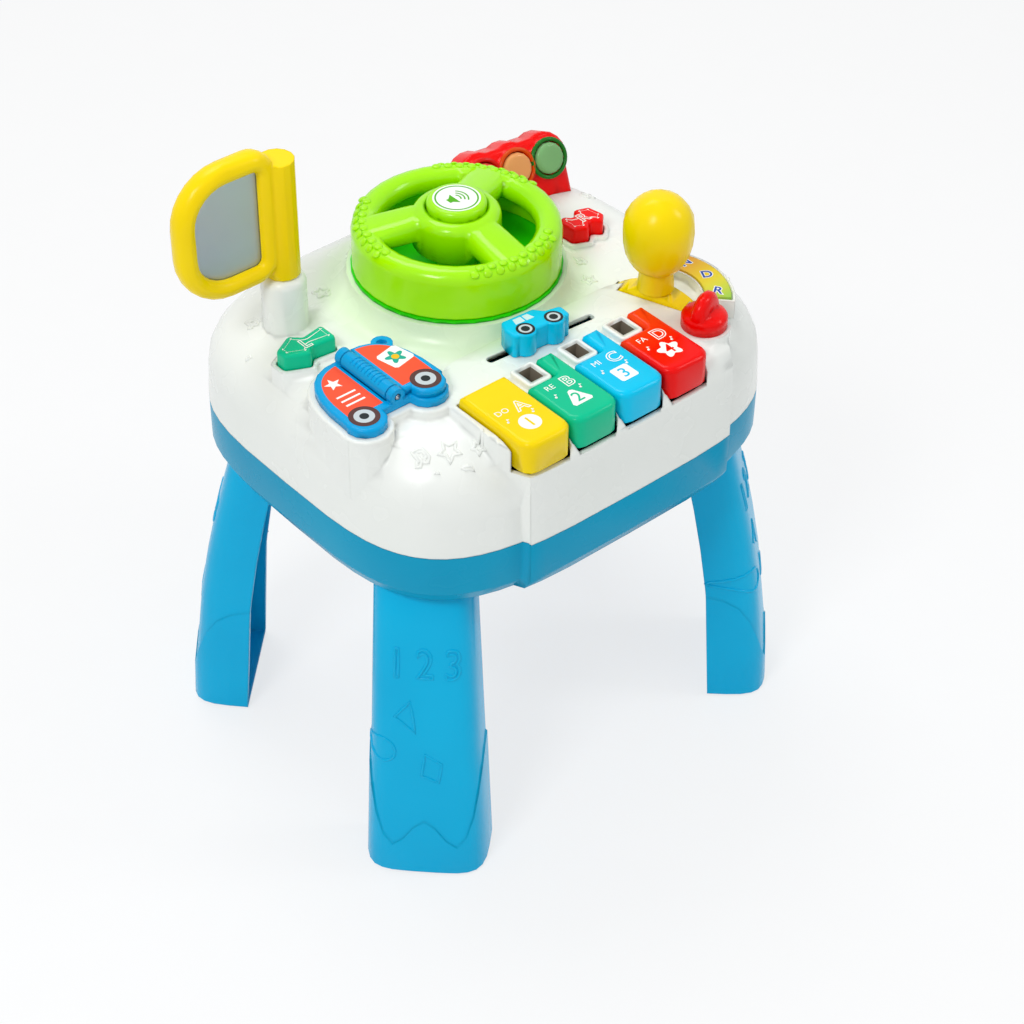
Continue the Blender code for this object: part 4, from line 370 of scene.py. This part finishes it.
NOTE = [(-1.2, 3.4), (-0.4, 3.4), (2.4, 2.2), (2.4, -2.0), (1.0, -3.2), (-0.2, -2.2), (0.8, -1.2),
        (1.6, -1.4), (1.6, 1.4), (-0.4, 2.2), (-0.4, -1.2), (-1.8, -2.4), (-3.0, -1.4), (-2.0, -0.4),
        (-1.2, -0.6)]
FLOWER = flower(3.4, 1.1, 40)
FIGURES = (
    (FLOWER, -105.0, 37.0, 0.95), (NOTE, -91.0, 55.0, 1.0), (NOTE, -91.0, -66.0, 1.2),
    (star(5, 4.6, 2.2), -80.0, -72.0, 1.1), (FLOWER, -91.0, -79.0, 0.9), (NOTE, -79.0, -84.0, 1.0),
    (star(5, 4.2, 2.0), -69.0, -78.0, 0.8), (NOTE, 54.0, -5.0, 0.9), (star(5, 4.0, 1.9), 47.0, -19.0, 0.9),
    (FLOWER, -54.0, 52.0, 0.9), (NOTE, 92.5, -62.0, 1.0), (star(5, 3.6, 1.7), 97.0, 38.0, 1.0))


def divided(outline, shares):
    """A closed outline with points added at shares of each side."""
    line = []
    for index, point in enumerate(outline):
        following = outline[(index + 1) % len(outline)]
        for share in shares:
            line.append((point[0] + (following[0] - point[0]) * share,
                         point[1] + (following[1] - point[1]) * share))
    return line


deck = surface("top_shell")
lines = []
for outline, x, y, scale in FIGURES:
    line = []
    for across, along in divided(outline, (0.0, 0.5)):
        start = at(x + across * scale, y + along * scale, DROP_FROM)
        hit, normal = deck.ray_cast(start, Vector((0.0, 0.0, -1.0)))[:2]
        if hit and normal.z > LEVEL_ENOUGH:
            line.append(hit - Vector((0.0, 0.0, DECK_BEAD_SINK)))
    lines.append(line)
bead("deck_relief", "table", white_abs, lines, DECK_BEAD)


# Tray and legs: sky blue ABS, a little softer in gloss than the deck.
# On each leg's outer face stand the raised outlines of three digits, a triangle, a circle and a square.
LEG_BEAD = 0.00075
LEG_BEAD_SINK = 0.00015
LEG_X, LEG_Y = 0.0875, 0.0655
LEG_REACH = 0.08
DIGIT_SIZE, DIGIT_WIDTH_SHARE = 21.0, 0.78
tray_blue = moulded("tray_blue_abs_moulded", "009cc2", "0095bc", 0.26)
leg_blue = moulded("leg_blue_abs_moulded", "00b4e2", "00addc", 0.24)
for name in ("base_tray", "battery_cover"):
    skin(name, tray_blue)


def word_mesh(text, size, bold=0.0, filled=True):
    """Lettering as a flat mesh about its middle, in millimetres."""
    curve = bpy.data.curves.new("lettering", "FONT")
    curve.body = text
    curve.size = size
    curve.align_x = "CENTER"
    curve.align_y = "CENTER"
    curve.offset = bold
    curve.resolution_u = 4
    curve.fill_mode = "FRONT" if filled else "NONE"
    return turned_to_mesh(curve)


def word_lines(text, size):
    """The closed outlines of some lettering."""
    shape = bmesh.new()
    shape.from_mesh(word_mesh(text, size, filled=False))
    bmesh.ops.remove_doubles(shape, verts=shape.verts, dist=0.001)
    used = set()
    found = []
    for point in shape.verts:
        line = []
        while point and point not in used:
            used.add(point)
            line.append((point.co.x, point.co.y))
            ways = [edge.other_vert(point) for edge in point.link_edges]
            point = next((way for way in ways if way not in used), None)
        if len(line) > 2:
            found.append(line)
    shape.free()
    return found


digits = [[(x * DIGIT_WIDTH_SHARE, y) for x, y in line] for line in word_lines("1 2 3", DIGIT_SIZE)]
leg_figures = [(line, 118.0) for line in digits]
leg_figures += [([(-6.5, 7.6), (-13.5, -1.0), (-4.0, -9.0)], 92.0),
                (round_line(6.2, 24, (-19.5, 0.0)), 72.0),
                ([(0.5, 7.6), (8.2, 2.6), (7.0, -8.0), (-1.0, -4.5)], 64.0)]
for name, side_x, side_y in (("front_left", -1, -1), ("front_right", 1, -1),
                             ("back_left", -1, 1), ("back_right", 1, 1)):
    skin("leg_" + name, leg_blue)
    face = surface("leg_" + name)
    outward = Vector((side_x, side_y, 0.0)).normalized()
    sideways = Vector((0.0, 0.0, 1.0)).cross(outward)
    start = Vector((middle_x + side_x * LEG_X, side_y * LEG_Y, 0.0)) + outward * LEG_REACH
    lines = []
    for outline, level in leg_figures:
        line = []
        for across, rise in divided(outline, (0.0, 0.34, 0.67)):
            spot = start + sideways * across / 1000.0 + Vector((0.0, 0.0, (level + rise) / 1000.0))
            hit = face.ray_cast(spot, -outward)[0]
            if hit:
                line.append(hit - outward * LEG_BEAD_SINK)
        if len(line) > 2:
            lines.append(line)
    bead("leg_relief_" + name, "table", leg_blue, lines, LEG_BEAD)


# Steering wheel: lime ABS with a high polish on a green flange; the horn is set in its hub.
# Small raised grip dots stand in rows on three sectors of the rim.
RIM_RADIUS, RIM_Z = 42.1, 258.8
DOT_RADIUS, DOT_HEIGHT_SHARE = 0.0021, 0.42
DOT_COUNT, DOT_STEP, DOT_ROW_TILTS = 9, 7.4, (52.0, 84.0)
SECTOR_START = 30.0
HORN_PRINT_Z = 274.47
LAYER = 0.03
lime = moulded("lime_abs_polished", "a6ee00", "9ee800", 0.15, soft=0.06, sheen=0.30)
well_green = moulded("well_green_abs", "2ce000", "26d600", 0.30)
skin("steering_wheel", lime)
skin("horn_button", lime)
skin("wheel_base", well_green)
rim = surface("steering_wheel")
shape = bmesh.new()
for sector in range(3):
    for step in range(DOT_COUNT):
        for row, tilt in enumerate(DOT_ROW_TILTS):
            place = step - (DOT_COUNT - 1) / 2.0 + row / 2.0
            turn = math.radians(120.0 * sector + SECTOR_START + place * DOT_STEP)
            lift = math.radians(tilt)
            away = Vector((math.cos(turn) * math.cos(lift), math.sin(turn) * math.cos(lift), math.sin(lift)))
            middle = at(WHEEL_X + RIM_RADIUS * math.cos(turn), WHEEL_Y + RIM_RADIUS * math.sin(turn), RIM_Z)
            hit, normal = rim.ray_cast(middle + away * 0.02, -away)[:2]
            if hit:
                pose = Matrix.Translation(hit) @ normal.to_track_quat("Z", "Y").to_matrix().to_4x4()
                pose = pose @ Matrix.Diagonal((1.0, 1.0, DOT_HEIGHT_SHARE, 1.0))
                bmesh.ops.create_icosphere(shape, subdivisions=3, radius=DOT_RADIUS, matrix=pose)
mesh = finished(shape)
mesh.shade_smooth()
piece("grip_dots", mesh, lime, "wheel")


def decal(name, body, material, outlines, z, bands=()):
    """Flat print: filled outlines, and bands between two outlines, in millimetres at one height."""
    shape = bmesh.new()
    for outline in outlines:
        shape.faces.new([shape.verts.new(at(x, y, z)) for x, y in outline])
    for outer, inner in bands:
        far = [shape.verts.new(at(x, y, z)) for x, y in outer]
        near = [shape.verts.new(at(x, y, z)) for x, y in inner]
        for index in range(len(far)):
            following = (index + 1) % len(far)
            shape.faces.new((far[index], far[following], near[following], near[index]))
    bmesh.ops.recalc_face_normals(shape, faces=shape.faces)
    piece(name, finished(shape), material, body)


def wording(name, body, material, text, size, x, y, z, bold=0.0, turn=0.0):
    """Flat lettering at a place in millimetres."""
    mesh = word_mesh(text, size, bold)
    mesh.transform(Matrix.Translation(at(x, y, z)) @ Matrix.Rotation(math.radians(turn), 4, "Z")
                   @ Matrix.Scale(0.001, 4))
    piece(name, mesh, material, body)


def moved(line, x, y, scale=1.0, turn=0.0):
    """An outline scaled, turned and moved."""
    cosine, sine = math.cos(math.radians(turn)) * scale, math.sin(math.radians(turn)) * scale
    return [(x + across * cosine - along * sine, y + across * sine + along * cosine)
            for across, along in line]


def arc(x, y, inner, outer, first, last, steps=10):
    """Part of a ring as one outline."""
    turns = [math.radians(first + (last - first) * step / steps) for step in range(steps + 1)]
    return ([(x + outer * math.cos(turn), y + outer * math.sin(turn)) for turn in turns]
            + [(x + inner * math.cos(turn), y + inner * math.sin(turn)) for turn in reversed(turns)])


print_white = moulded("white_print", "fbfbf6", "f4f5f0", 0.34)
print_green = moulded("green_print", "58b80a", "50ac08", 0.34)
hub = (WHEEL_X, WHEEL_Y)
horn_box = [(-1.0, -1.3), (0.2, -1.3), (2.2, -3.2), (2.2, 3.2), (0.2, 1.3), (-1.0, 1.3)]
waves = [arc(-1.2, WHEEL_Y, inner, inner + 0.7, -spread, spread)
         for inner, spread in ((2.6, 42.0), (4.3, 46.0), (6.0, 48.0))]
decal("horn_disc", "horn", print_white, [round_line(11.0, 40, hub)], HORN_PRINT_Z)
decal("horn_ring", "horn", print_green, [], HORN_PRINT_Z + LAYER,
      [(round_line(10.1, 40, hub), round_line(9.3, 40, hub))])
decal("horn_speaker", "horn", print_green, [moved(horn_box, -3.6, WHEEL_Y, 1.25)] + waves,
      HORN_PRINT_Z + 2.0 * LAYER)


# Mirror: a yellow frame with soft edges round a film mirror, on a round arm.
def metallic(material):
    """Turns a finish into bare metal."""
    material.node_tree.nodes["Principled BSDF"].inputs["Metallic"].default_value = 1.0


yellow = moulded("yellow_abs_polished", "fbdc00", "f6d400", 0.24, soft=0.05)
mirror_film = moulded("mirror_film", "bac6ce", "b4c0c8", 0.46, 0.002)
metallic(mirror_film)
skin("mirror_frame", yellow)
skin("mirror_glass", mirror_film)


# Traffic light: a red plate with hooded lenses of tinted clear plastic.
# A rounded collar in a deeper tone stands round each lens.
LIGHT_PLACE = (65.6, 56.156, 246.5)
LIGHT_YAW, LIGHT_TILT = -8.0, 66.0
LENS_PITCH = 0.0182
COLLAR_RADIUS, COLLAR_BEAD, COLLAR_LEVEL, COLLAR_STEPS = 0.0092, 0.00105, 0.0029, 32
red = moulded("red_abs_polished", "f40804", "ec0000", 0.22, soft=0.05)
skin("traffic_light", red)
light_pose = (Matrix.Translation(at(*LIGHT_PLACE)) @ Matrix.Rotation(math.radians(LIGHT_YAW), 4, "Z")
              @ Matrix.Rotation(math.radians(LIGHT_TILT), 4, "X"))
for index, (name, body, shade, collar) in enumerate((
        ("lens_red", "e04838", "d03828", "d81008"), ("lens_amber", "eca466", "e2965a", "dc4a04"),
        ("lens_green", "86b87e", "78ac70", "1e7020"))):
    skin(name, moulded(name + "_tint", body, shade, 0.12))
    ring = round_line(COLLAR_RADIUS, COLLAR_STEPS, ((index - 1.0) * LENS_PITCH, 0.0))
    line = [light_pose @ Vector((x, y, COLLAR_LEVEL)) for x, y in ring]
    bead(name + "_collar", "table", moulded(name + "_collar_tint", collar, collar, 0.20), [line], COLLAR_BEAD)


# Flip book: blue covers shaped as a toy car, with an orange print inside a blue border.
# The left page has a small star over stripes and the right one a white plate with a flower.
SPINE_X, SPINE_Z, SPINE_RADIUS = -84.45, 240.1, 4.0
BOOK_FRONT, BOOK_HALF_WIDTH, BOOK_DEPTH, BOOK_POWER = -42.98, 26.5, 40.5, 2.9
BOOK_BORDER = 3.4
BASE_PRINT_Z, PAGE_PRINT_Z = 238.05, 241.95
BOOK_WHEEL_Y = -42.0
STICKER_X, STICKER_Y = -68.8, -21.4
STRIPES_X = -98.6
RIDGE_BEAD = 0.00034
book_blue = moulded("book_blue_abs", "00a4de", "009ad6", 0.24)
for name in ("book_base", "book_page"):
    skin(name, book_blue)
book_orange = moulded("book_orange_print", "ff5a38", "f84e2e", 0.32)
book_brown = moulded("book_brown_print", "5a3a38", "503230", 0.34)
print_grey = moulded("grey_print", "c9d2d6", "bfc9ce", 0.34)
print_dark = moulded("dark_print", "20282c", "1a2024", 0.34)


def book_line(inset, left, right):
    """The book's roof line between two places across it, moved inwards."""
    line = []
    low = BOOK_FRONT + inset
    for step in range(41):
        across = left + (right - left) * step / 40.0
        share = min(abs(across - SPINE_X) / (BOOK_HALF_WIDTH - inset), 1.0)
        rise = (1.0 - share ** BOOK_POWER) ** (1.0 / BOOK_POWER)
        line.append((across, low + rise * (BOOK_DEPTH - 2.0 * inset)))
    return [(right, low)] + line[::-1] + [(left, low)]


def plate(half, corner):
    """A square with cut corners."""
    near = half - corner
    return [(-half, -near), (-near, -half), (near, -half), (half, -near), (half, near), (near, half),
            (-near, half), (-half, near)]


for name, z, left, right, body in (("left_page", BASE_PRINT_Z, -107.6, -90.0, "table"),
                                   ("right_page", PAGE_PRINT_Z, -79.2, -62.2, "page")):
    decal(name + "_print", body, book_orange, [book_line(BOOK_BORDER, left, right)], z)
for name, x, z, body in (("left_wheel", -101.94, BASE_PRINT_Z + 0.05, "table"),
                         ("right_wheel", -68.55, PAGE_PRINT_Z + 0.05, "page")):
    for layer, (part, material, radius, steps) in enumerate((
            ("_tyre", book_brown, 6.9, 36), ("_rim", print_grey, 4.6, 32), ("_hub", print_dark, 2.1, 24))):
        decal(name + part, body, material, [round_line(radius, steps, (x, BOOK_WHEEL_Y))],
              z + layer * LAYER)
for layer, (name, material, outline, slot) in enumerate((
        ("sticker_plate", print_white, moved(plate(5.2, 1.0), STICKER_X, STICKER_Y, 1.2, 12.0), "white_abs"),
        ("sticker_flower", moulded("teal_print", "1cae96", "18a48c", 0.34),
         moved(FLOWER, STICKER_X, STICKER_Y, 1.1, 20.0), "teal_abs"),
        ("sticker_middle", moulded("gold_print", "f2c020", "eab818", 0.34),
         round_line(1.8, 20, (STICKER_X, STICKER_Y)), "yellow_abs"))):
    decal(name, "page", material, [outline], PAGE_PRINT_Z + 0.05 + layer * LAYER)
decal("page_star", "table", print_white, [moved(star(5, 4.2, 1.8), STRIPES_X, -16.0)], BASE_PRINT_Z + 0.05)
stripe = [(-5.0, -0.55), (5.0, -0.55), (5.0, 0.55), (-5.0, 0.55)]
decal("page_stripes", "table", print_white, [moved(stripe, STRIPES_X, y) for y in (-25.0, -28.4, -31.8)],
      BASE_PRINT_Z + 0.05)
lines = []
for step in range(9):
    y = -33.0 + step * 2.4
    turns = [math.radians(turn) for turn in range(-48, 49, 12)]
    lines.append([at(SPINE_X + SPINE_RADIUS * math.sin(turn), y, SPINE_Z + SPINE_RADIUS * math.cos(turn))
                  for turn in turns])
bead("spine_ridges", "page", book_blue, lines, RIDGE_BEAD, closed=False)


# Sliding car: sky blue, with pale window panes and ringed wheels on its face.
CAR_X, CAR_Y, CAR_TURN = -3.48, -42.925, -4.0
CAR_START, CAR_LENGTH, CAR_WHEEL_ROW = -3.5, 31.0, -3.625
CAR_WHEEL_SHARES = (-0.26, 0.24)
CAR_PANE_Z, CAR_WHEEL_Z = 245.36, 245.66
sky = moulded("sky_blue_abs", "00c6ee", "00bee8", 0.20, soft=0.04)
skin("slider_car", sky)
glass_print = moulded("pane_print", "cfe9ec", "c4e2e6", 0.22)
for index, share in enumerate(CAR_WHEEL_SHARES):
    spot = moved([(CAR_START + share * CAR_LENGTH, CAR_WHEEL_ROW)], CAR_X, CAR_Y, 1.0, CAR_TURN)[0]
    decal("car_tyre_%d" % index, "car", print_dark, [round_line(4.3, 32, spot)], CAR_WHEEL_Z)
    decal("car_rim_%d" % index, "car", print_grey, [], CAR_WHEEL_Z + LAYER,
          [(round_line(3.1, 32, spot), round_line(2.0, 32, spot))])
panes = [[(-9.4, 1.4), (-4.4, 1.4), (-4.4, 5.2), (-8.6, 5.2)],
         [(-3.6, 1.4), (0.6, 1.4), (-0.6, 5.2), (-3.6, 5.2)]]
decal("car_panes", "car", glass_print,
      [moved([(x + CAR_START, y) for x, y in pane], CAR_X, CAR_Y, 1.0, CAR_TURN) for pane in panes],
      CAR_PANE_Z)


# Keys: yellow, teal, sky blue and red, each with white prints: a plate with its number, an
# outlined letter, a note name and two notes. The red one turns orange towards its back.
KEY_PITCH, FIRST_KEY_X = 27.0, -50.01
KEY_PRINT_Z = 238.05
PLATE_Y, LETTER_Y, WORD_Y = -89.6, -78.6, -77.4
FADE_FROM, FADE_TO, FADE_SHARE = -0.086, -0.064, 0.85
teal = moulded("teal_abs", "00c492", "00bb8a", 0.22, soft=0.04)
key_red = moulded("red_abs_shaded", "f40804", "ec0000", 0.22, soft=0.05)


def along_depth(tree, start, end, last):
    """Rises from zero at one depth of the table to a last value at another."""
    place = node(tree, "ShaderNodeTexCoord")
    parts = node(tree, "ShaderNodeSeparateXYZ", links={"Vector": place.outputs["Object"]})
    rise = node(tree, "ShaderNodeMapRange",
                {"From Min": start, "From Max": end, "To Min": 0.0, "To Max": last},
                {"Value": parts.outputs["Y"]})
    return rise.outputs["Result"]


tinted(key_red, "f84a12", along_depth(key_red.node_tree, FADE_FROM, FADE_TO, FADE_SHARE))
plates = (round_line(5.1, 32),
          [(0.0, 5.8), (-1.4, 5.2), (-5.4, -3.2), (-4.6, -4.6), (4.6, -4.6), (5.4, -3.2), (1.4, 5.2)],
          plate(4.8, 0.8), [(y, x) for x, y in flower(4.9, 1.1, 60)])
small_note = [(0.0, 0.0), (0.35, 0.0), (0.35, 1.6), (1.1, 1.2), (1.1, 1.7), (0.35, 2.2), (0.0, 2.2)]
for index, (body, material, slot, letter, word) in enumerate((
        ("first_key", yellow, "yellow_abs", "A", "DO"), ("second_key", teal, "teal_abs", "B", "RE"),
        ("third_key", sky, "sky_blue_abs", "C", "MI"), ("fourth_key", key_red, "red_abs", "D", "FA"))):
    name = "key_%d" % (index + 1)
    skin(name, material)
    x = FIRST_KEY_X + KEY_PITCH * index
    decal(name + "_plate", body, print_white, [moved(plates[index], x - 0.4, PLATE_Y)], KEY_PRINT_Z)
    wording(name + "_number", body, material, str(index + 1), 9.0, x - 0.4, PLATE_Y - 0.2, KEY_PRINT_Z + 0.04,
            0.08)
    wording(name + "_letter", body, print_white, letter, 9.4, x + 3.6, LETTER_Y, KEY_PRINT_Z, 0.42)
    wording(name + "_letter_core", body, material, letter, 9.4, x + 3.6, LETTER_Y, KEY_PRINT_Z + LAYER, -0.10)
    wording(name + "_word", body, print_white, word, 4.6, x - 5.6, WORD_Y, KEY_PRINT_Z)
    notes = []
    for across, along in ((-7.6, -84.4), (5.6, -85.2)):
        notes.append(moved(small_note, x + across, along))
        notes.append(round_line(0.62, 14, (x + across - 0.35, along + 0.1)))
    decal(name + "_notes", body, print_white, notes, KEY_PRINT_Z)


# Pockets behind the keys: grey-brown sheets in the white surrounds, painted shade that makes each pocket read
# as a dark hole.
# Each sheet is a floor with four sides, open at the top.
POCKET_X, POCKET_HALF = -26.51, 3.92
POCKET_FRONT, POCKET_BACK = -67.49, -57.65
POCKET_FLOOR_Z, POCKET_LIP_Z = 227.6, 235.2
# Painted shade: dark grey-brown in place of the shade deep in each pocket.
pocket_shade = moulded("pocket_shade_sheet", "8c8272", "7a7163", 0.50)
shape = bmesh.new()
for index in range(3):
    left = POCKET_X + KEY_PITCH * index - POCKET_HALF
    right = left + 2.0 * POCKET_HALF
    corners = [(left, POCKET_FRONT), (right, POCKET_FRONT), (right, POCKET_BACK), (left, POCKET_BACK)]
    floor_ring = [shape.verts.new(at(x, y, POCKET_FLOOR_Z)) for x, y in corners]
    top_ring = [shape.verts.new(at(x, y, POCKET_LIP_Z)) for x, y in corners]
    shape.faces.new(floor_ring)
    for corner in range(4):
        following = (corner + 1) % 4
        shape.faces.new((floor_ring[corner], floor_ring[following], top_ring[following], top_ring[corner]))
piece("pocket_shade_sheets", finished(shape), pocket_shade, "table")


# Signal buttons: teal and red, each with a white line that follows its outline and a letter.
# The line is cut from the button's own top face, set in from its edge.
BUTTON_PRINT_Z = 238.86
LINE_INSET, LINE_WIDTH, LINE_LIFT = 0.0012, 0.0005, 0.00006
skin("button_left", teal)
skin("button_right", red)
for cad_node, body, letter, material, slot, x, y in (
        ("button_left", "left_signal", "L", teal, "teal_abs", -90.6, 14.6),
        ("button_right", "right_signal", "R", red, "red_abs", 70.4, 11.4)):
    shape = bmesh.new()
    shape.from_mesh(frame["nodes"][cad_node].data)
    bmesh.ops.remove_doubles(shape, verts=shape.verts, dist=WELD)
    bmesh.ops.dissolve_limit(shape, angle_limit=math.radians(0.5), verts=shape.verts, edges=shape.edges)
    top = max((face for face in shape.faces if face.normal.z > 0.99), key=lambda face: face.calc_area())
    bmesh.ops.delete(shape, geom=[face for face in shape.faces if face is not top], context="FACES")
    bmesh.ops.inset_region(shape, faces=shape.faces[:], thickness=LINE_INSET, use_boundary=True)
    inner = max(shape.faces, key=lambda face: face.calc_area())
    bmesh.ops.delete(shape, geom=[face for face in shape.faces if face is not inner], context="FACES")
    line = bmesh.ops.inset_region(shape, faces=shape.faces[:], thickness=LINE_WIDTH, use_boundary=True)
    bmesh.ops.delete(shape, geom=[face for face in shape.faces if face not in line["faces"]], context="FACES")
    bmesh.ops.translate(shape, verts=shape.verts, vec=(0.0, 0.0, LINE_LIFT))
    piece(body + "_line", finished(shape), print_white, body)
    wording(body + "_letter", body, print_white, letter, 8.6, x, y, BUTTON_PRINT_Z, 0.42)
    wording(body + "_letter_core", body, material, letter, 8.6, x, y, BUTTON_PRINT_Z + LAYER, -0.10)


# Gear lever, turn knob and dial: the dial runs from green over yellow to orange at its back,
# with the blue letters N, D and R on white ground.
LEVER_X, LEVER_Y, DIAL_RADIUS = 58.888, -50.5, 29.0
DIAL_FROM, DIAL_TO = -0.077, -0.032
DIAL_PRINT_Z, DIAL_LETTER, LETTER_LEAN = 234.15, 7.4, -18.0
skin("gear_lever", yellow)
skin("turn_knob", red)
dial_yellow = moulded("dial_print", "f4d020", "f0c818", 0.28)
tree = dial_yellow.node_tree
shader = tree.nodes["Principled BSDF"]
ramp = node(tree, "ShaderNodeValToRGB", links={"Fac": along_depth(tree, DIAL_FROM, DIAL_TO, 1.0)})
ramp.color_ramp.elements[0].color = ink("8cc850")
ramp.color_ramp.elements[1].color = ink("e07840")
middle = ramp.color_ramp.elements.new(0.5)
middle.color = ink("f4d428")
tree.links.new(ramp.outputs["Color"], shader.inputs["Base Color"])
skin("gear_dial", dial_yellow)
print_blue = moulded("blue_print", "2050b8", "1c48a8", 0.34)
for letter, turn in (("N", 18.0), ("D", -9.0), ("R", -36.0)):
    x = LEVER_X + DIAL_RADIUS * math.cos(math.radians(turn))
    y = LEVER_Y + DIAL_RADIUS * math.sin(math.radians(turn))
    wording("dial_%s_ground" % letter, "table", print_white, letter, DIAL_LETTER, x, y, DIAL_PRINT_Z, 0.55,
            turn + LETTER_LEAN)
    wording("dial_%s" % letter, "table", print_blue, letter, DIAL_LETTER, x, y, DIAL_PRINT_Z + LAYER, 0.12,
            turn + LETTER_LEAN)


# Inner and under pieces: plain steel, a green board, a black speaker and grey cells.
steel = moulded("screw_steel", "b4b6ba", "a4a6aa", 0.32)
metallic(steel)
board = moulded("board_green", "1e6e38", "185c2e", 0.5)
black = moulded("speaker_black", "1c1c1c", "161616", 0.5)
sleeve = moulded("cell_sleeve", "4c4e54", "44464c", 0.35)
for name in ("battery_cover_screw", "body_screw_front_left", "body_screw_front_right", "body_screw_back_left",
             "body_screw_back_right", "key_shaft", "spindle_screw", "book_pin"):
    skin(name, steel)
skin("circuit_board", board)
skin("speaker", black)
for name in ("battery_1", "battery_2", "battery_3"):
    skin(name, sleeve)
